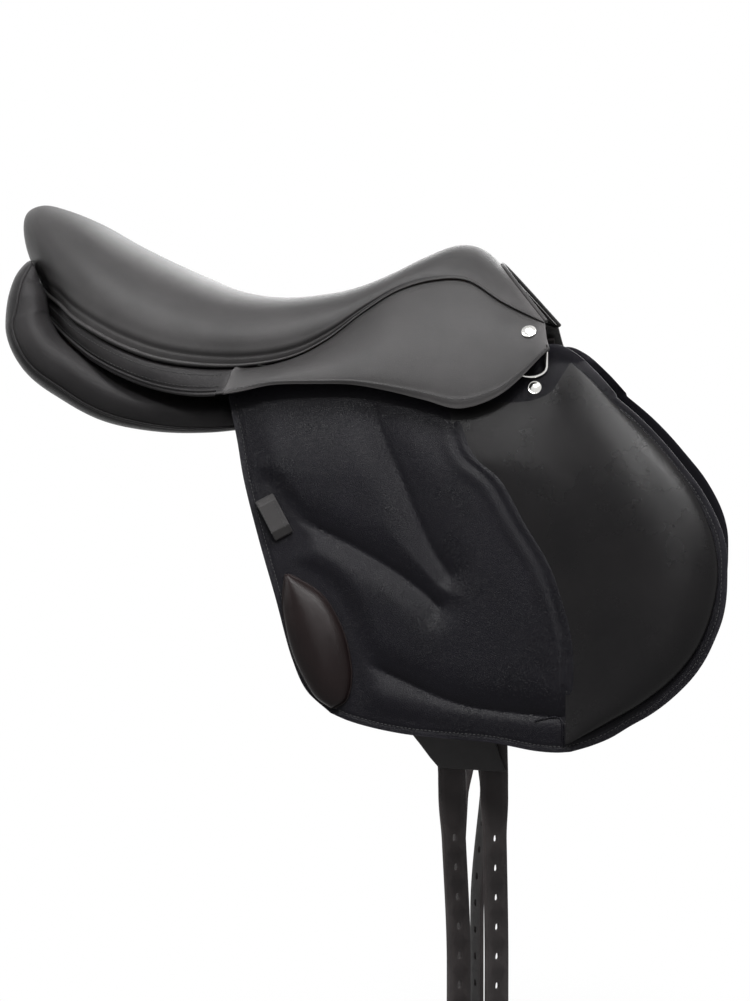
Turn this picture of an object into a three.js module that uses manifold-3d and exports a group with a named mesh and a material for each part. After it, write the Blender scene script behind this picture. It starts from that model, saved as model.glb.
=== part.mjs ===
// Jumping saddle with a single flap on each side, as it hangs on a rest.
// Millimetres. +X points to the pommel, +Y to the rider's left, +Z up.
// X = 0 is the seat's lowest point, Y = 0 the middle plane, Z = 0 the level that the panels bear on.
import * as THREE from "three";
import { mergeVertices } from "three/addons/utils/BufferGeometryUtils.js";
import Module from "manifold-3d";

const wasm = await Module();
wasm.setup();

// Driving sizes of the seat
const seatLength = 444.5; // 17.5 inches from the head's nail to the middle of the cantle
const seatDipHeight = 119;
const cantleRise = 84; // cantle's top above the dip
const pommelRise = 46; // head's top above the dip
const seamHeight = 58; // seat seam under the dip
const seatHalfWidth = 144; // seat seam at its widest
const hemDrop = 22; // cantle band below the seat seam
const coverThickness = 3;
const foamThickness = 20;
const bandThickness = 3;
const weltRadius = 2.4;
const clearance = 0.3; // between pieces that lie on each other

// Driving sizes of the tree
const treeThickness = 11;
const webThickness = 2;
const plateThickness = 2;
const pointThickness = 7;

// Driving sizes of the panels
const panelHalfSpan = 146; // outer edge of a panel from the middle plane
const panelDepth = 38;
const panelReach = 212; // middle of a panel's rear end, behind the dip

// Driving sizes of the skirts and flaps
const skirtThickness = 4;
const skirtDrop = 37; // tip of the skirt below the seat seam's dip
const flapThickness = 7;
const flapWidth = 427;
const flapRearX = -30;
const flapLineHeight = 30; // the line that the flap lifts on
const flapTopHeight = 60; // where the flap leaves the tree
const flapDrop = 294; // from the line that it lifts on to its lower edge
const flapTopHalfSpan = 97;
const skirtStandOff = 29; // room for the flap and the ring under the skirt
const skirtHalfSpan = flapTopHalfSpan + skirtStandOff;
const flapFlare = 81; // how far the flap stands out at its lower edge
const flapWrapDepth = 12; // how far its front and rear edges turn out
const kneePadCrown = 18;
const thighPadCrown = 15;
const keeperLength = 38;
const keeperWidth = 17;
const keeperThickness = 3;
const keeperRoom = 4.6; // for the stirrup leather's end

// Driving sizes of the straps
const strapWidth = 24;
const strapThickness = 3.6;
const strapLength = 300;
const strapHoleRadius = 2.2;
const strapHolePitch = 25.4; // one inch
const strapHoleCount = 8;
const strapHoleStart = 55;
const strapHalfSpan = 118;
const strapTopHeight = -293; // the line that a strap bends on, under its guard
const guardThickness = 3;
const guardDepth = 84;

// Driving sizes of the metalwork
const nailRadius = 6.6;
const nailHeight = 2.6;
const deeWire = 1.5; // radius of the ring's wire
const deeHalfWidth = 13;
const deeDrop = 24;
const chapeThickness = 1.8;
const barLength = 64;
const barWidth = 13;
const barThickness = 4.4;
const barGap = 8.4; // room for the stirrup leather
const barPlateThickness = 2.8;
const catchLength = 24;
const pinRadius = 1.6;
const pinClearance = 0.08;
const rivetRadius = 3;

// Materials
function finish(color, roughness, metalness = 0) {
  return new THREE.MeshStandardMaterial({ color, roughness, metalness });
}
const finishes = {
  seatLeather: finish(0x262626, 0.42),
  flapLeather: finish(0x1d1d20, 0.46),
  brownLeather: finish(0x2b1d1a, 0.33),
  strapLeather: finish(0x2a2524, 0.55),
  foam: finish(0xd8cfae, 0.95),
  web: finish(0xcfc6ad, 0.9),
  wood: finish(0x9b7447, 0.7),
  steel: finish(0x8d9093, 0.4, 1),
  bright: finish(0xd6d6d6, 0.2, 1),
};

const saddle = new THREE.Group();
const vec = (x, y, z) => new THREE.Vector3(x, y, z);
const mix = THREE.MathUtils.lerp;
const smooth = THREE.MathUtils.smoothstep;
const rad = THREE.MathUtils.degToRad;
const between = (a, b, t) => a.clone().lerp(b, t);
const spline = (points) => new THREE.CatmullRomCurve3(points, false, "centripetal");
const evenSteps = (from, to, count) => Array.from({ length: count + 1 }, (_, i) => mix(from, to, i / count));

// Start, the whole steps of a lattice that lie between, and the end
function latticeSteps(from, to, step) {
  const slack = step / 100;
  const inside = [];
  for (let i = Math.ceil((from + slack) / step); i * step < to - slack; i += 1) inside.push(i * step);
  return [from, ...inside, to];
}

// A closed solid from points and faces, turned so that its faces point out
function closedSolid(points, faces) {
  const volume = faces.reduce((sum, [a, b, c]) => sum + points[a].dot(points[b].clone().cross(points[c])), 0);
  const geometry = new THREE.BufferGeometry();
  geometry.setAttribute("position", new THREE.Float32BufferAttribute(points.flatMap((p) => [p.x, p.y, p.z]), 3));
  geometry.setIndex(faces.flatMap(([a, b, c]) => (volume > 0 ? [a, b, c] : [a, c, b])));
  return mergeVertices(geometry, 1e-4);
}

// Two faces over the same grid, joined round their rims. A whole piece is the grid and its mirror
// image, which meet in the middle plane where the grid's second direction ends.
function gridSolid(outer, inner, us, vs, whole = false) {
  const points = [outer, inner].flatMap((face) => us.flatMap((u) => vs.map((v) => face(u, v))));
  const faces = [];
  const across = vs.length;
  const at = (side, i, j) => (side * us.length + i) * across + j;
  const quad = (a, b, c, d) => faces.push([a, b, c], [a, c, d]);
  const [lastU, lastV] = [us.length - 1, vs.length - 1];
  for (let i = 0; i < lastU; i += 1) {
    for (let j = 0; j < lastV; j += 1) {
      quad(at(0, i, j), at(0, i + 1, j), at(0, i + 1, j + 1), at(0, i, j + 1));
      faces.push([at(1, i, j), at(1, i + 1, j + 1), at(1, i + 1, j)], [at(1, i, j), at(1, i, j + 1), at(1, i + 1, j + 1)]);
    }
    quad(at(0, i, 0), at(1, i, 0), at(1, i + 1, 0), at(0, i + 1, 0));
    if (!whole) quad(at(0, i, lastV), at(0, i + 1, lastV), at(1, i + 1, lastV), at(1, i, lastV));
  }
  for (let j = 0; j < lastV; j += 1) {
    quad(at(0, 0, j), at(0, 0, j + 1), at(1, 0, j + 1), at(1, 0, j));
    quad(at(0, lastU, j), at(1, lastU, j), at(1, lastU, j + 1), at(0, lastU, j + 1));
  }
  if (!whole) return closedSolid(points, faces);
  const half = points.length;
  const images = points.map((p) => vec(p.x, -p.y, p.z));
  const turned = faces.map(([a, b, c]) => [a + half, c + half, b + half]);
  return closedSolid([...points, ...images], [...faces, ...turned]);
}

// Closed rings of points, joined one to the next and capped at both ends
function ringSolid(rings) {
  const count = rings[0].length;
  const points = rings.flat();
  const faces = [];
  for (let i = 0; i + 1 < rings.length; i += 1) {
    for (let j = 0; j < count; j += 1) {
      const k = (j + 1) % count;
      const [a, b, c, d] = [i * count + j, i * count + k, (i + 1) * count + k, (i + 1) * count + j];
      faces.push([a, b, c], [a, c, d]);
    }
  }
  for (const [first, turned] of [[0, true], [(rings.length - 1) * count, false]]) {
    const middle = points.length;
    points.push(rings[first / count].reduce((sum, p) => sum.add(p), vec(0, 0, 0)).divideScalar(count));
    for (let j = 0; j < count; j += 1) {
      const [a, b] = [first + j, first + ((j + 1) % count)];
      faces.push(turned ? [middle, b, a] : [middle, a, b]);
    }
  }
  return closedSolid(points, faces);
}

// The way out of a face, and a face that lies under another one
function outOf(face, reach) {
  return (u, v) => {
    const alongU = face(u + reach.u, v).sub(face(u - reach.u, v));
    const alongV = face(u, v + reach.v).sub(face(u, v - reach.v));
    const normal = alongU.cross(alongV).normalize();
    const place = face(u, v);
    return normal.dot(vec(place.x / 4, place.y, 0)) > 0 ? normal : normal.negate();
  };
}
const under = (face, depth, reach) => (u, v) => face(u, v).addScaledVector(outOf(face, reach)(u, v), -depth);

// A round tube whose rings stand at given points
function roundTube(centres, radius, sides) {
  const rings = centres.map((centre, i) => {
    const ahead = centres[Math.min(i + 1, centres.length - 1)];
    const behind = centres[Math.max(i - 1, 0)];
    const along = ahead.clone().sub(behind).normalize();
    const side = along.clone().cross(vec(0, 0, 1)).normalize();
    const up = side.clone().cross(along);
    return Array.from({ length: sides }, (_, k) => {
      const turn = (2 * Math.PI * k) / sides;
      return centre.clone().addScaledVector(side, radius * Math.cos(turn)).addScaledVector(up, radius * Math.sin(turn));
    });
  });
  return ringSolid(rings);
}

function mirrored(geometry) {
  const copy = geometry.index ? geometry.toNonIndexed() : geometry.clone();
  const p = copy.getAttribute("position");
  for (let i = 0; i < p.count; i += 3) {
    const [a, b, c] = [0, 1, 2].map((k) => [p.getX(i + k), -p.getY(i + k), p.getZ(i + k)]);
    p.setXYZ(i, ...a);
    p.setXYZ(i + 1, ...c);
    p.setXYZ(i + 2, ...b);
  }
  return copy;
}

function plain(geometry) {
  const copy = geometry.clone();
  copy.deleteAttribute("normal");
  copy.deleteAttribute("uv");
  return mergeVertices(copy, 1e-4);
}

function add(name, geometry, material) {
  const mesh = new THREE.Mesh(plain(geometry), material);
  mesh.geometry.computeVertexNormals();
  mesh.name = name;
  saddle.add(mesh);
}

// The right-hand piece and its mirror image on the left
function addPair(name, geometry, material) {
  add(`${name}_right`, geometry, material);
  add(`${name}_left`, mirrored(geometry), material);
}

function toSolid(geometry) {
  const merged = plain(geometry);
  const vertProperties = new Float32Array(merged.getAttribute("position").array);
  return new wasm.Manifold(new wasm.Mesh({ numProp: 3, vertProperties, triVerts: new Uint32Array(merged.index.array) }));
}

function toGeometry(solid) {
  const { vertProperties, triVerts, numProp } = solid.getMesh();
  const geometry = new THREE.BufferGeometry();
  const places = [];
  for (let i = 0; i < vertProperties.length; i += numProp) places.push(...vertProperties.slice(i, i + 3));
  geometry.setAttribute("position", new THREE.Float32BufferAttribute(places, 3));
  geometry.setIndex([...triVerts]);
  return geometry;
}

// Stations of the seat run from the back of the cantle (0) to the front of the pommel (19).
// Ridge: the seat's top in the middle plane, [length share, rise share].
const ridgeShares = [
  [-0.504, 0.2], [-0.512, 0.46], [-0.526, 0.73], [-0.522, 0.93], [-0.493, 1.0], [-0.45, 0.95],
  [-0.382, 0.8], [-0.315, 0.6], [-0.247, 0.42], [-0.175, 0.25], [-0.092, 0.075], [0, 0],
  [0.092, 0.065], [0.157, 0.2], [0.225, 0.46], [0.292, 0.78], [0.349, 0.99], [0.387, 0.98],
  [0.414, 0.85], [0.436, 0.66],
];
// Seam: the seat's lower edge, [length share, half width share, rise share].
const seamShares = [
  [-0.488, 0.2, 0.917], [-0.477, 0.347, 0.87], [-0.465, 0.45, 0.83], [-0.452, 0.54, 0.79],
  [-0.432, 0.66, 0.73], [-0.405, 0.764, 0.65], [-0.371, 0.868, 0.51], [-0.328, 0.951, 0.38],
  [-0.27, 0.993, 0.226], [-0.202, 0.993, 0.095], [-0.124, 0.924, 0.024], [-0.034, 0.785, 0.012],
  [0.049, 0.66, 0.174], [0.112, 0.569, 0.5], [0.18, 0.486, 1.02], [0.247, 0.438, 1.435],
  [0.315, 0.417, 1.63], [0.382, 0.424, 1.63], [0.457, 0.528, 1.2], [0.54, 0.646, 0.804],
];
// Hem behind the skirt, [length share, skirt span share, drop share], dropped from the seat seam
const bandHemShares = [
  [-0.476, 0.22, 0.5], [-0.47, 0.385, 0.6], [-0.461, 0.5, 0.75], [-0.448, 0.62, 0.98],
  [-0.428, 0.76, 1.13], [-0.405, 0.88, 1.2], [-0.369, 1.01, 1.17], [-0.328, 1.1, 1.24],
  [-0.27, 1.18, 1.24], [-0.198, 1.19, 1.27], [-0.124, 1.16, 1.24], [-0.05, 1.1, 1.1],
];
// Hem of the skirt, [length share, skirt span share, height share], raised from the skirt's tip
const skirtHemShares = [
  [0.022, 1.045, 0.54], [0.1, 1, 0.56], [0.175, 0.976, 0.54], [0.243, 0.97, 0.4],
  [0.315, 0.984, 0.19], [0.383, 1, 0], [0.461, 0.984, 0.32], [0.552, 0.92, 1.37],
];
const lastStation = ridgeShares.length - 1;
const stationStep = 0.5;
const acrossStep = 1 / 6;
const skirtStartStep = 10.75; // the skirt starts here, in front of the cantle band
const riseAt = (lengthShare) => (lengthShare < 0 ? cantleRise : pommelRise);

const ridgePoints = ridgeShares.map(([x, z]) => vec(x * seatLength, 0, seatDipHeight + z * riseAt(x)));
const seamPoints = seamShares.map(([x, y, z]) => vec(x * seatLength, -y * seatHalfWidth, seamHeight + z * riseAt(x)));
const hemPoints = [
  ...bandHemShares.map(([x, y, z], i) => vec(x * seatLength, -y * skirtHalfSpan, seamPoints[i].z - z * hemDrop)),
  ...skirtHemShares.map(([x, y, z]) => vec(x * seatLength, -y * skirtHalfSpan, seamHeight - skirtDrop + z * skirtDrop)),
];
const ridgeLine = spline(ridgePoints);
const seamLine = spline(seamPoints);
const hemLine = spline(hemPoints);

// A point of a line at a station; stations from -1 to 0 run on round the back to the middle plane
const backShare = 0.008;
function lineAt(line, station) {
  if (station >= 0) return line.getPoint(Math.min(station, lastStation) / lastStation);
  const start = line.getPoint(0);
  return between(start, vec(start.x - backShare * seatLength, 0, start.z), -station);
}

// A point of the seat's cross section: across runs from 1 at the seam to 0 at the ridge,
// and depth is how far below the leather's outer face it lies.
const sideFullnessShares = [0.85, 1.2]; // behind the twist, and at the pommel
const topFullnessShares = [0.8, 2];
const pommelStep = 13;
function seatPoint(station, across, depth) {
  const top = lineAt(ridgeLine, station);
  const side = lineAt(seamLine, station);
  const base = vec(side.x, 0, side.z);
  const tall = top.distanceTo(base);
  const forward = smooth(station, pommelStep, lastStation);
  const angle = (across * Math.PI) / 2;
  const out = Math.sin(angle) ** mix(...sideFullnessShares, forward) * (-side.y - depth);
  const up = Math.max(0, Math.cos(angle)) ** mix(...topFullnessShares, forward) * (1 - depth / tall);
  return base.lerp(top, up).add(vec(0, -out, 0));
}

// The same point on the flat facets of a lattice of stations, so that every layer lies flush on the next
function facetPoint(station, across, depth) {
  const i = Math.min(Math.floor(station / stationStep + acrossStep / 100), lastStation / stationStep - 1);
  const j = Math.min(Math.floor(across / acrossStep + acrossStep / 100), Math.round(1 / acrossStep) - 1);
  const s = station / stationStep - i;
  const t = 1 - (across / acrossStep - j);
  const corner = (a, b) => {
    const [st, ac] = [(i + a) * stationStep, (j + 1 - b) * acrossStep];
    return seatPoint(st, ac, depth(st, ac));
  };
  const [start, end] = [corner(0, 0), corner(1, 1)];
  const bend = s > t ? corner(1, 0) : corner(0, 1);
  const [first, second] = s > t ? [s, t] : [t, s];
  return start.clone().addScaledVector(bend.clone().sub(start), first).addScaledVector(end.sub(bend), second);
}

// A layer of the seat between two depths, over a range of stations and of across
function seatLayer(stations, acrosses, outerDepth, innerDepth) {
  const us = latticeSteps(...stations, stationStep);
  const vs = latticeSteps(...acrosses, acrossStep).reverse();
  const face = (depth) => (station, across) => facetPoint(station, across, depth);
  return gridSolid(face(outerDepth), face(innerDepth), us, vs, acrosses[0] === 0);
}

// The foam thins towards the seams, the pommel and the cantle
const foamSideShare = 0.5;
const foamEndShare = 0.38;
const foamSteps = [3, 18];
const foamFullSteps = [7, 12];
const foamFrontStep = 15;
function foamUnder(station, across) {
  const rear = smooth(station, foamSteps[0], foamFullSteps[0]);
  const front = 1 - smooth(station, foamFullSteps[1], foamFrontStep);
  const ends = mix(foamEndShare, 1, rear * front);
  const sides = mix(1, foamSideShare, Math.sin((across * Math.PI) / 2) ** 2);
  return coverThickness + clearance + foamThickness * ends * sides;
}
const below = (extra) => (station, across) => foamUnder(station, across) + extra;
const flat = (depth) => () => depth;

const foamEdge = 5 * acrossStep;
function buildSeat() {
  add("seat_cover", seatLayer([0, lastStation], [0, 1], flat(0), flat(coverThickness)), finishes.seatLeather);
  add("seat_foam", seatLayer(foamSteps, [0, foamEdge], flat(coverThickness + clearance), foamUnder), finishes.foam);
}

// Webs lie under the foam: the long pair on the cross web, and that on the tree's rails
const webDepth = clearance;
const crossWebDepth = webDepth + webThickness + clearance;
const treeDepth = crossWebDepth + webThickness + clearance;
const webSteps = [5, 15.2];
const webEdgeShares = [0.04, 0.3];
const crossWebSteps = [9.6, 11.2];
const crossWebEdgeShare = 0.8;
function buildWebs() {
  const long = seatLayer(webSteps, webEdgeShares, below(webDepth), below(webDepth + webThickness));
  addPair("seat_web", long, finishes.web);
  const cross = seatLayer(crossWebSteps, [0, crossWebEdgeShare], below(crossWebDepth), below(crossWebDepth + webThickness));
  add("cross_web", cross, finishes.web);
}

// The tree: a cantle, two rails and a head butted end to end, with a steel plate over the head
const cantleSteps = [3.6, 6.4];
const headSteps = [15.6, 18.5];
const buttStep = 0.012; // of a station
const cantleEdgeShare = 0.9;
const railEdgeShares = [0.5, 0.86];
const headEdgeShare = 0.94;
const plateEdgeShare = 0.88;
const headPlateSteps = [16.2, 17.8];
const headDepth = clearance + plateThickness + clearance;
function buildTree() {
  const railStations = [cantleSteps[1] + buttStep, headSteps[0] - buttStep];
  const wood = [below(treeDepth), below(treeDepth + treeThickness)];
  add("tree_cantle", seatLayer(cantleSteps, [0, cantleEdgeShare], ...wood), finishes.wood);
  addPair("tree_rail", seatLayer(railStations, railEdgeShares, ...wood), finishes.wood);
  const head = [below(headDepth), below(headDepth + treeThickness - plateThickness)];
  add("tree_head", seatLayer(headSteps, [0, headEdgeShare], ...head), finishes.wood);
  const plate = [below(clearance), below(clearance + plateThickness)];
  add("head_plate", seatLayer(headPlateSteps, [0, plateEdgeShare], ...plate), finishes.steel);
}

// Leather below the seat seam: a welt, then the cantle band behind and a skirt in front on each side
const hangAt = (station) => lineAt(hemLine, station).sub(lineAt(seamLine, station)).normalize();
const belowSeam = (station, drop) => lineAt(seamLine, station).addScaledVector(hangAt(station), drop);
const weltSeatShare = 1.5; // room for the leather's wall where the welt stands beside it
const weltDrop = weltSeatShare * weltRadius + clearance;
const bandTop = weltDrop + weltSeatShare * weltRadius + clearance;

// Bend line of the skirt: straight, from a point at its rear to one near its front nail
const bendRearShare = 0.31;
const bendFrontShare = 0.65;
const bendStart = between(lineAt(seamLine, skirtStartStep), lineAt(hemLine, skirtStartStep), bendRearShare);
const bendEnd = between(lineAt(seamLine, lastStation), lineAt(hemLine, lastStation), bendFrontShare);
const bendBiasShare = 0.6;
function bendAt(station) {
  const x = mix(lineAt(seamLine, station).x, lineAt(hemLine, station).x, bendBiasShare);
  return between(bendStart, bendEnd, (x - bendStart.x) / (bendEnd.x - bendStart.x));
}
// The skirt's outer face: fall runs from 0 at the welt over 1 at the bend line to 2 at the hem
function skirtFace(station, fall) {
  const top = belowSeam(station, bandTop);
  const bend = bendAt(station);
  return fall < 1 ? between(top, bend, fall) : between(bend, lineAt(hemLine, station), fall - 1);
}
const skirtReach = { u: 0.05, v: 0.15 };
const skirtButtStep = 0.06; // of a station, between the band and the skirt

function bandFace(station, fall) {
  return between(belowSeam(station, bandTop), lineAt(hemLine, station), fall);
}

function buildSkirts() {
  const weltStations = latticeSteps(0, lastStation, stationStep).reverse();
  const weltLine = [...weltStations, -1].map((station) => belowSeam(station, weltDrop));
  const wholeLine = [...weltLine, ...weltLine.slice(0, -1).reverse().map((p) => vec(p.x, -p.y, p.z))];
  add("seat_welt", roundTube(wholeLine, weltRadius, 6), finishes.seatLeather);

  const bandStations = [...latticeSteps(0, skirtStartStep - skirtButtStep, stationStep).reverse(), -1];
  const bandFalls = evenSteps(0, 1, 2);
  const band = (fall, station) => bandFace(station, fall);
  const bandUnder = under(bandFace, bandThickness, skirtReach);
  const bandInner = (fall, station) => bandUnder(station, fall).multiply(vec(1, station < 0 ? 0 : 1, 1));
  add("cantle_band", gridSolid(band, bandInner, bandFalls, bandStations, true), finishes.seatLeather);

  const skirtInner = under(skirtFace, skirtThickness, skirtReach);
  const skirtStations = latticeSteps(skirtStartStep, lastStation, stationStep);
  addPair("skirt", gridSolid(skirtFace, skirtInner, skirtStations, evenSteps(0, 1, 3)), finishes.seatLeather);
  const tipLength = bendAt(lastStation).distanceTo(lineAt(hemLine, lastStation));
  const tipFalls = evenSteps(1 + (2 * clearance) / tipLength, 2, 3);
  addPair("skirt_tip", gridSolid(skirtFace, skirtInner, skirtStations, tipFalls), finishes.seatLeather);
}

// Panels: stations from the rear end to the front end,
// [reach share, span share, height share, half width share, half depth share, slope and turn in degrees]
const panelShares = [
  [-1.035, 0.56, 3.82, 0.11, 0.13, 5, 12], [-1.042, 0.552, 3.52, 0.22, 0.31, 6, 12],
  [-1.045, 0.55, 3.08, 0.3, 0.58, 8, 12], [-1.01, 0.56, 2.42, 0.345, 0.93, 10, 10],
  [-0.92, 0.595, 1.84, 0.375, 1.04, 11, 7], [-0.775, 0.62, 1.37, 0.39, 1.08, 13, 3],
  [-0.63, 0.63, 0.92, 0.39, 1.05, 14, 0], [-0.47, 0.61, 0.68, 0.375, 1, 15, 0],
  [-0.28, 0.55, 0.6, 0.31, 0.94, 17, 0], [-0.09, 0.48, 0.66, 0.255, 0.86, 22, 0],
  [0.12, 0.45, 0.8, 0.265, 0.76, 30, 0], [0.34, 0.44, 1.02, 0.285, 0.66, 38, 0],
  [0.56, 0.435, 1.2, 0.315, 0.6, 45, 0], [0.8, 0.44, 1.28, 0.335, 0.56, 50, 0],
  [1.02, 0.455, 1.32, 0.34, 0.5, 54, 0], [1.13, 0.475, 1.35, 0.29, 0.3, 55, 0],
];
const panelSides = 14;
const panelSquareness = 0.75; // of the section, where 1 is an ellipse
const swell = (value) => Math.sign(value) * Math.abs(value) ** panelSquareness;
function buildPanels() {
  const middles = panelShares.map(([x, y, z]) => vec(x * panelReach, -y * panelHalfSpan, (z * panelDepth)));
  const line = spline(middles);
  const rings = panelShares.map(([, , , wide, deep, slope, turned], i) => {
    const along = line.getTangent(i / (panelShares.length - 1));
    const down = vec(Math.tan(rad(turned)), -1, -Math.tan(rad(slope))).normalize();
    const outward = down.addScaledVector(along, -down.dot(along)).normalize();
    const up = outward.clone().cross(along).normalize();
    return evenSteps(0, 2 * Math.PI, panelSides).slice(0, -1).map((turn) => middles[i].clone()
      .addScaledVector(outward, swell(Math.cos(turn)) * wide * panelHalfSpan)
      .addScaledVector(up, (swell(Math.sin(turn)) * deep * panelDepth) / 2));
  });
  addPair("panel", ringSolid(rings), finishes.seatLeather);
}

// The side frame of the tree's point: x runs forward, y down the slope and z out of the saddle
const pointShares = [0.371, 0.752, 1.2926]; // of the seat's length, the skirt's span and the seam's height
const pointOrigin = vec(pointShares[0] * seatLength, -pointShares[1] * skirtHalfSpan, pointShares[2] * seamHeight);
const pointSlopeDegrees = 30; // of the point's face from upright, in degrees
const pointOut = vec(0, -Math.cos(rad(pointSlopeDegrees)), Math.sin(rad(pointSlopeDegrees)));
const pointDown = vec(0, -Math.sin(rad(pointSlopeDegrees)), -Math.cos(rad(pointSlopeDegrees)));
const barOuterDepth = 2; // the bar's outer face from the frame's plane
const barInner = barOuterDepth - barThickness;
const barPlateOuter = barInner - barGap;
const pointOuter = barPlateOuter - barPlateThickness - clearance;
const onSide = new THREE.Matrix4().makeBasis(vec(1, 0, 0), pointDown, pointOut.clone().negate()).setPosition(pointOrigin);

// A plate in the side frame, from one height out of the saddle down to another
function sidePlate(shape, outer, inner, curveSegments = 6) {
  const plate = new THREE.ExtrudeGeometry(shape, { depth: outer - inner, bevelEnabled: false, curveSegments });
  return plate.translate(0, 0, -outer).applyMatrix4(onSide);
}

const pointWidth = 98; // along the saddle
const pointDrop = 85; // from its top edge to its foot
const pointTopShare = 0.843; // of the drop, above the frame's origin
const pointTopShares = [[-0.36, 0.965], [-0.26, 1], [0.12, 1], [0.25, 0.83], [0.4, 0.67], [0.54, 0.54]];
const pointFootShares = [[0.6, 0.38], [0.55, 0.12], [0.44, 0], [-0.3, 0], [-0.46, 0.1], [-0.5, 0.3], [-0.44, 0.8]];
function buildPoints() {
  const top = pointDrop * pointTopShare;
  const outline = [...pointTopShares, ...pointFootShares].map(([x, y]) => new THREE.Vector2(x * pointWidth, pointDrop * (1 - y) - top));
  addPair("tree_point", sidePlate(new THREE.Shape(outline), pointOuter, pointOuter - pointThickness), finishes.wood);
}

// The stirrup bar: a plate riveted to the point, a block that stands off it and a bar that runs
// back from the block, with half its end cut away for the catch
const barFrontShare = 0.42; // of the bar's length, in front of the frame's origin
const barEndRadius = barWidth / 2;
const barFront = barLength * barFrontShare;
const barRear = barFront - barLength;
const tongue = barWidth; // the part of the bar that carries the catch
const blockLength = 15;
const plateRearShare = 0.55;
const overrunLength = 1; // for cuts
function bar2d(from, to, half, roundRear = true) {
  const shape = new THREE.Shape();
  shape.moveTo(to, -half);
  shape.lineTo(to, half);
  shape.lineTo(from, half);
  if (roundRear) shape.absarc(from, 0, half, Math.PI / 2, (3 * Math.PI) / 2, false);
  else shape.lineTo(from, -half);
  shape.lineTo(to, -half);
  return shape;
}
function hole(shape, x, y, radius) {
  const ring = new THREE.Path();
  ring.absarc(x, y, radius, 0, 2 * Math.PI, true);
  shape.holes.push(ring);
  return shape;
}
const pinX = barRear + tongue / 2;
const halfLap = (barThickness - clearance) / 2;
const pinHeadShare = 1.8;
const rivetHeight = 1;
const plateRear = barFront - barLength * plateRearShare - blockLength;
const rivetPlaces = { rear: plateRear, front: barFront - blockLength - 2 * rivetRadius };
function sideRound(x, radius, outer, inner) {
  const shape = new THREE.Shape();
  shape.absarc(x, 0, radius, 0, 2 * Math.PI, false);
  return toSolid(sidePlate(shape, outer, inner, 8));
}
function buildStirrupBars() {
  const plate = toSolid(sidePlate(bar2d(plateRear, barFront, barEndRadius), barPlateOuter, barPlateOuter - barPlateThickness));
  const block = bar2d(barFront - blockLength, barFront, barEndRadius, false);
  const blockSolid = toSolid(sidePlate(block, barInner + overrunLength, barPlateOuter - overrunLength));
  const main = toSolid(sidePlate(bar2d(barRear + tongue, barFront, barEndRadius, false), barOuterDepth, barInner));
  const lap = hole(bar2d(pinX, barRear + tongue + overrunLength, barEndRadius), pinX, 0, pinRadius + pinClearance);
  const lapSolid = toSolid(sidePlate(lap, barInner + halfLap, barInner, 8));
  addPair("stirrup_bar", toGeometry(plate.add(blockSolid).add(main).add(lapSolid)), finishes.steel);

  const catchEnd = pinX - catchLength + barEndRadius;
  const eye = new THREE.Shape();
  eye.absarc(pinX, 0, barEndRadius - clearance, 0, 2 * Math.PI, false);
  hole(eye, pinX, 0, pinRadius + pinClearance);
  const neck = bar2d(catchEnd, pinX - 2 * pinRadius, barEndRadius - clearance, false);
  const tail = bar2d(catchEnd, pinX - barEndRadius - clearance, barEndRadius);
  const eyeSolid = toSolid(sidePlate(eye, barOuterDepth, barOuterDepth - halfLap, 8));
  const neckSolid = toSolid(sidePlate(neck, barOuterDepth, barOuterDepth - halfLap));
  const tailSolid = toSolid(sidePlate(tail, barOuterDepth, barInner));
  addPair("bar_catch", toGeometry(eyeSolid.add(neckSolid).add(tailSolid)), finishes.steel);

  const shank = sideRound(pinX, pinRadius, barOuterDepth + overrunLength, barInner);
  const head = sideRound(pinX, pinHeadShare * pinRadius, barOuterDepth + clearance + overrunLength, barOuterDepth + clearance);
  addPair("catch_pin", toGeometry(shank.add(head)), finishes.bright);

  const rivetFace = barPlateOuter + clearance;
  for (const [name, x] of Object.entries(rivetPlaces)) {
    addPair(`bar_rivet_${name}`, toGeometry(sideRound(x, rivetRadius, rivetFace + rivetHeight, rivetFace)), finishes.bright);
  }
}

// Flaps stand out further and further down, and their front and rear edges turn out
const flapMiddleShare = 0.468;
const flapMiddleX = flapRearX + flapMiddleShare * flapWidth;
function flapHalfSpan(x, z) {
  const fall = THREE.MathUtils.clamp((flapTopHeight - z) / (flapTopHeight + flapDrop - flapLineHeight), 0, 1);
  return flapTopHalfSpan + flapFlare * fall ** 0.9 + flapWrapDepth * ((x - flapMiddleX) / (flapMiddleShare * flapWidth)) ** 2;
}
// Flap outline under the line it lifts on, [width share, drop share], from the top rear corner round
const flapRearShares = [[0, 0], [0.021, 0.122], [0.038, 0.238], [0.073, 0.411], [0.11, 0.575], [0.148, 0.75], [0.178, 0.837], [0.227, 0.9]];
const flapBottomShares = [[0.227, 0.9], [0.26, 0.92], [0.307, 0.939], [0.375, 0.957], [0.445, 0.966], [0.543, 0.976], [0.632, 0.997], [0.674, 1], [0.7, 0.997]];
const flapFrontShares = [[0.78, 0], [0.827, 0.058], [0.867, 0.116], [0.907, 0.184], [0.949, 0.262], [0.984, 0.357], [0.998, 0.43], [1, 0.5], [0.998, 0.568], [0.991, 0.622], [0.977, 0.677], [0.958, 0.735], [0.932, 0.789], [0.892, 0.847], [0.855, 0.888], [0.815, 0.922], [0.777, 0.956], [0.738, 0.98], [0.7, 0.997]];
const flapPlace = ([x, z]) => vec(flapRearX + x * flapWidth, 0, flapLineHeight - z * flapDrop);
const flapRear = spline(flapRearShares.map(flapPlace));
const flapBottom = spline(flapBottomShares.map(flapPlace));
const flapFront = spline(flapFrontShares.map(flapPlace));
const flapTopFront = flapPlace(flapFrontShares[0]);
const flapTop = spline([flapPlace([0, 0]), flapTopFront]);

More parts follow.
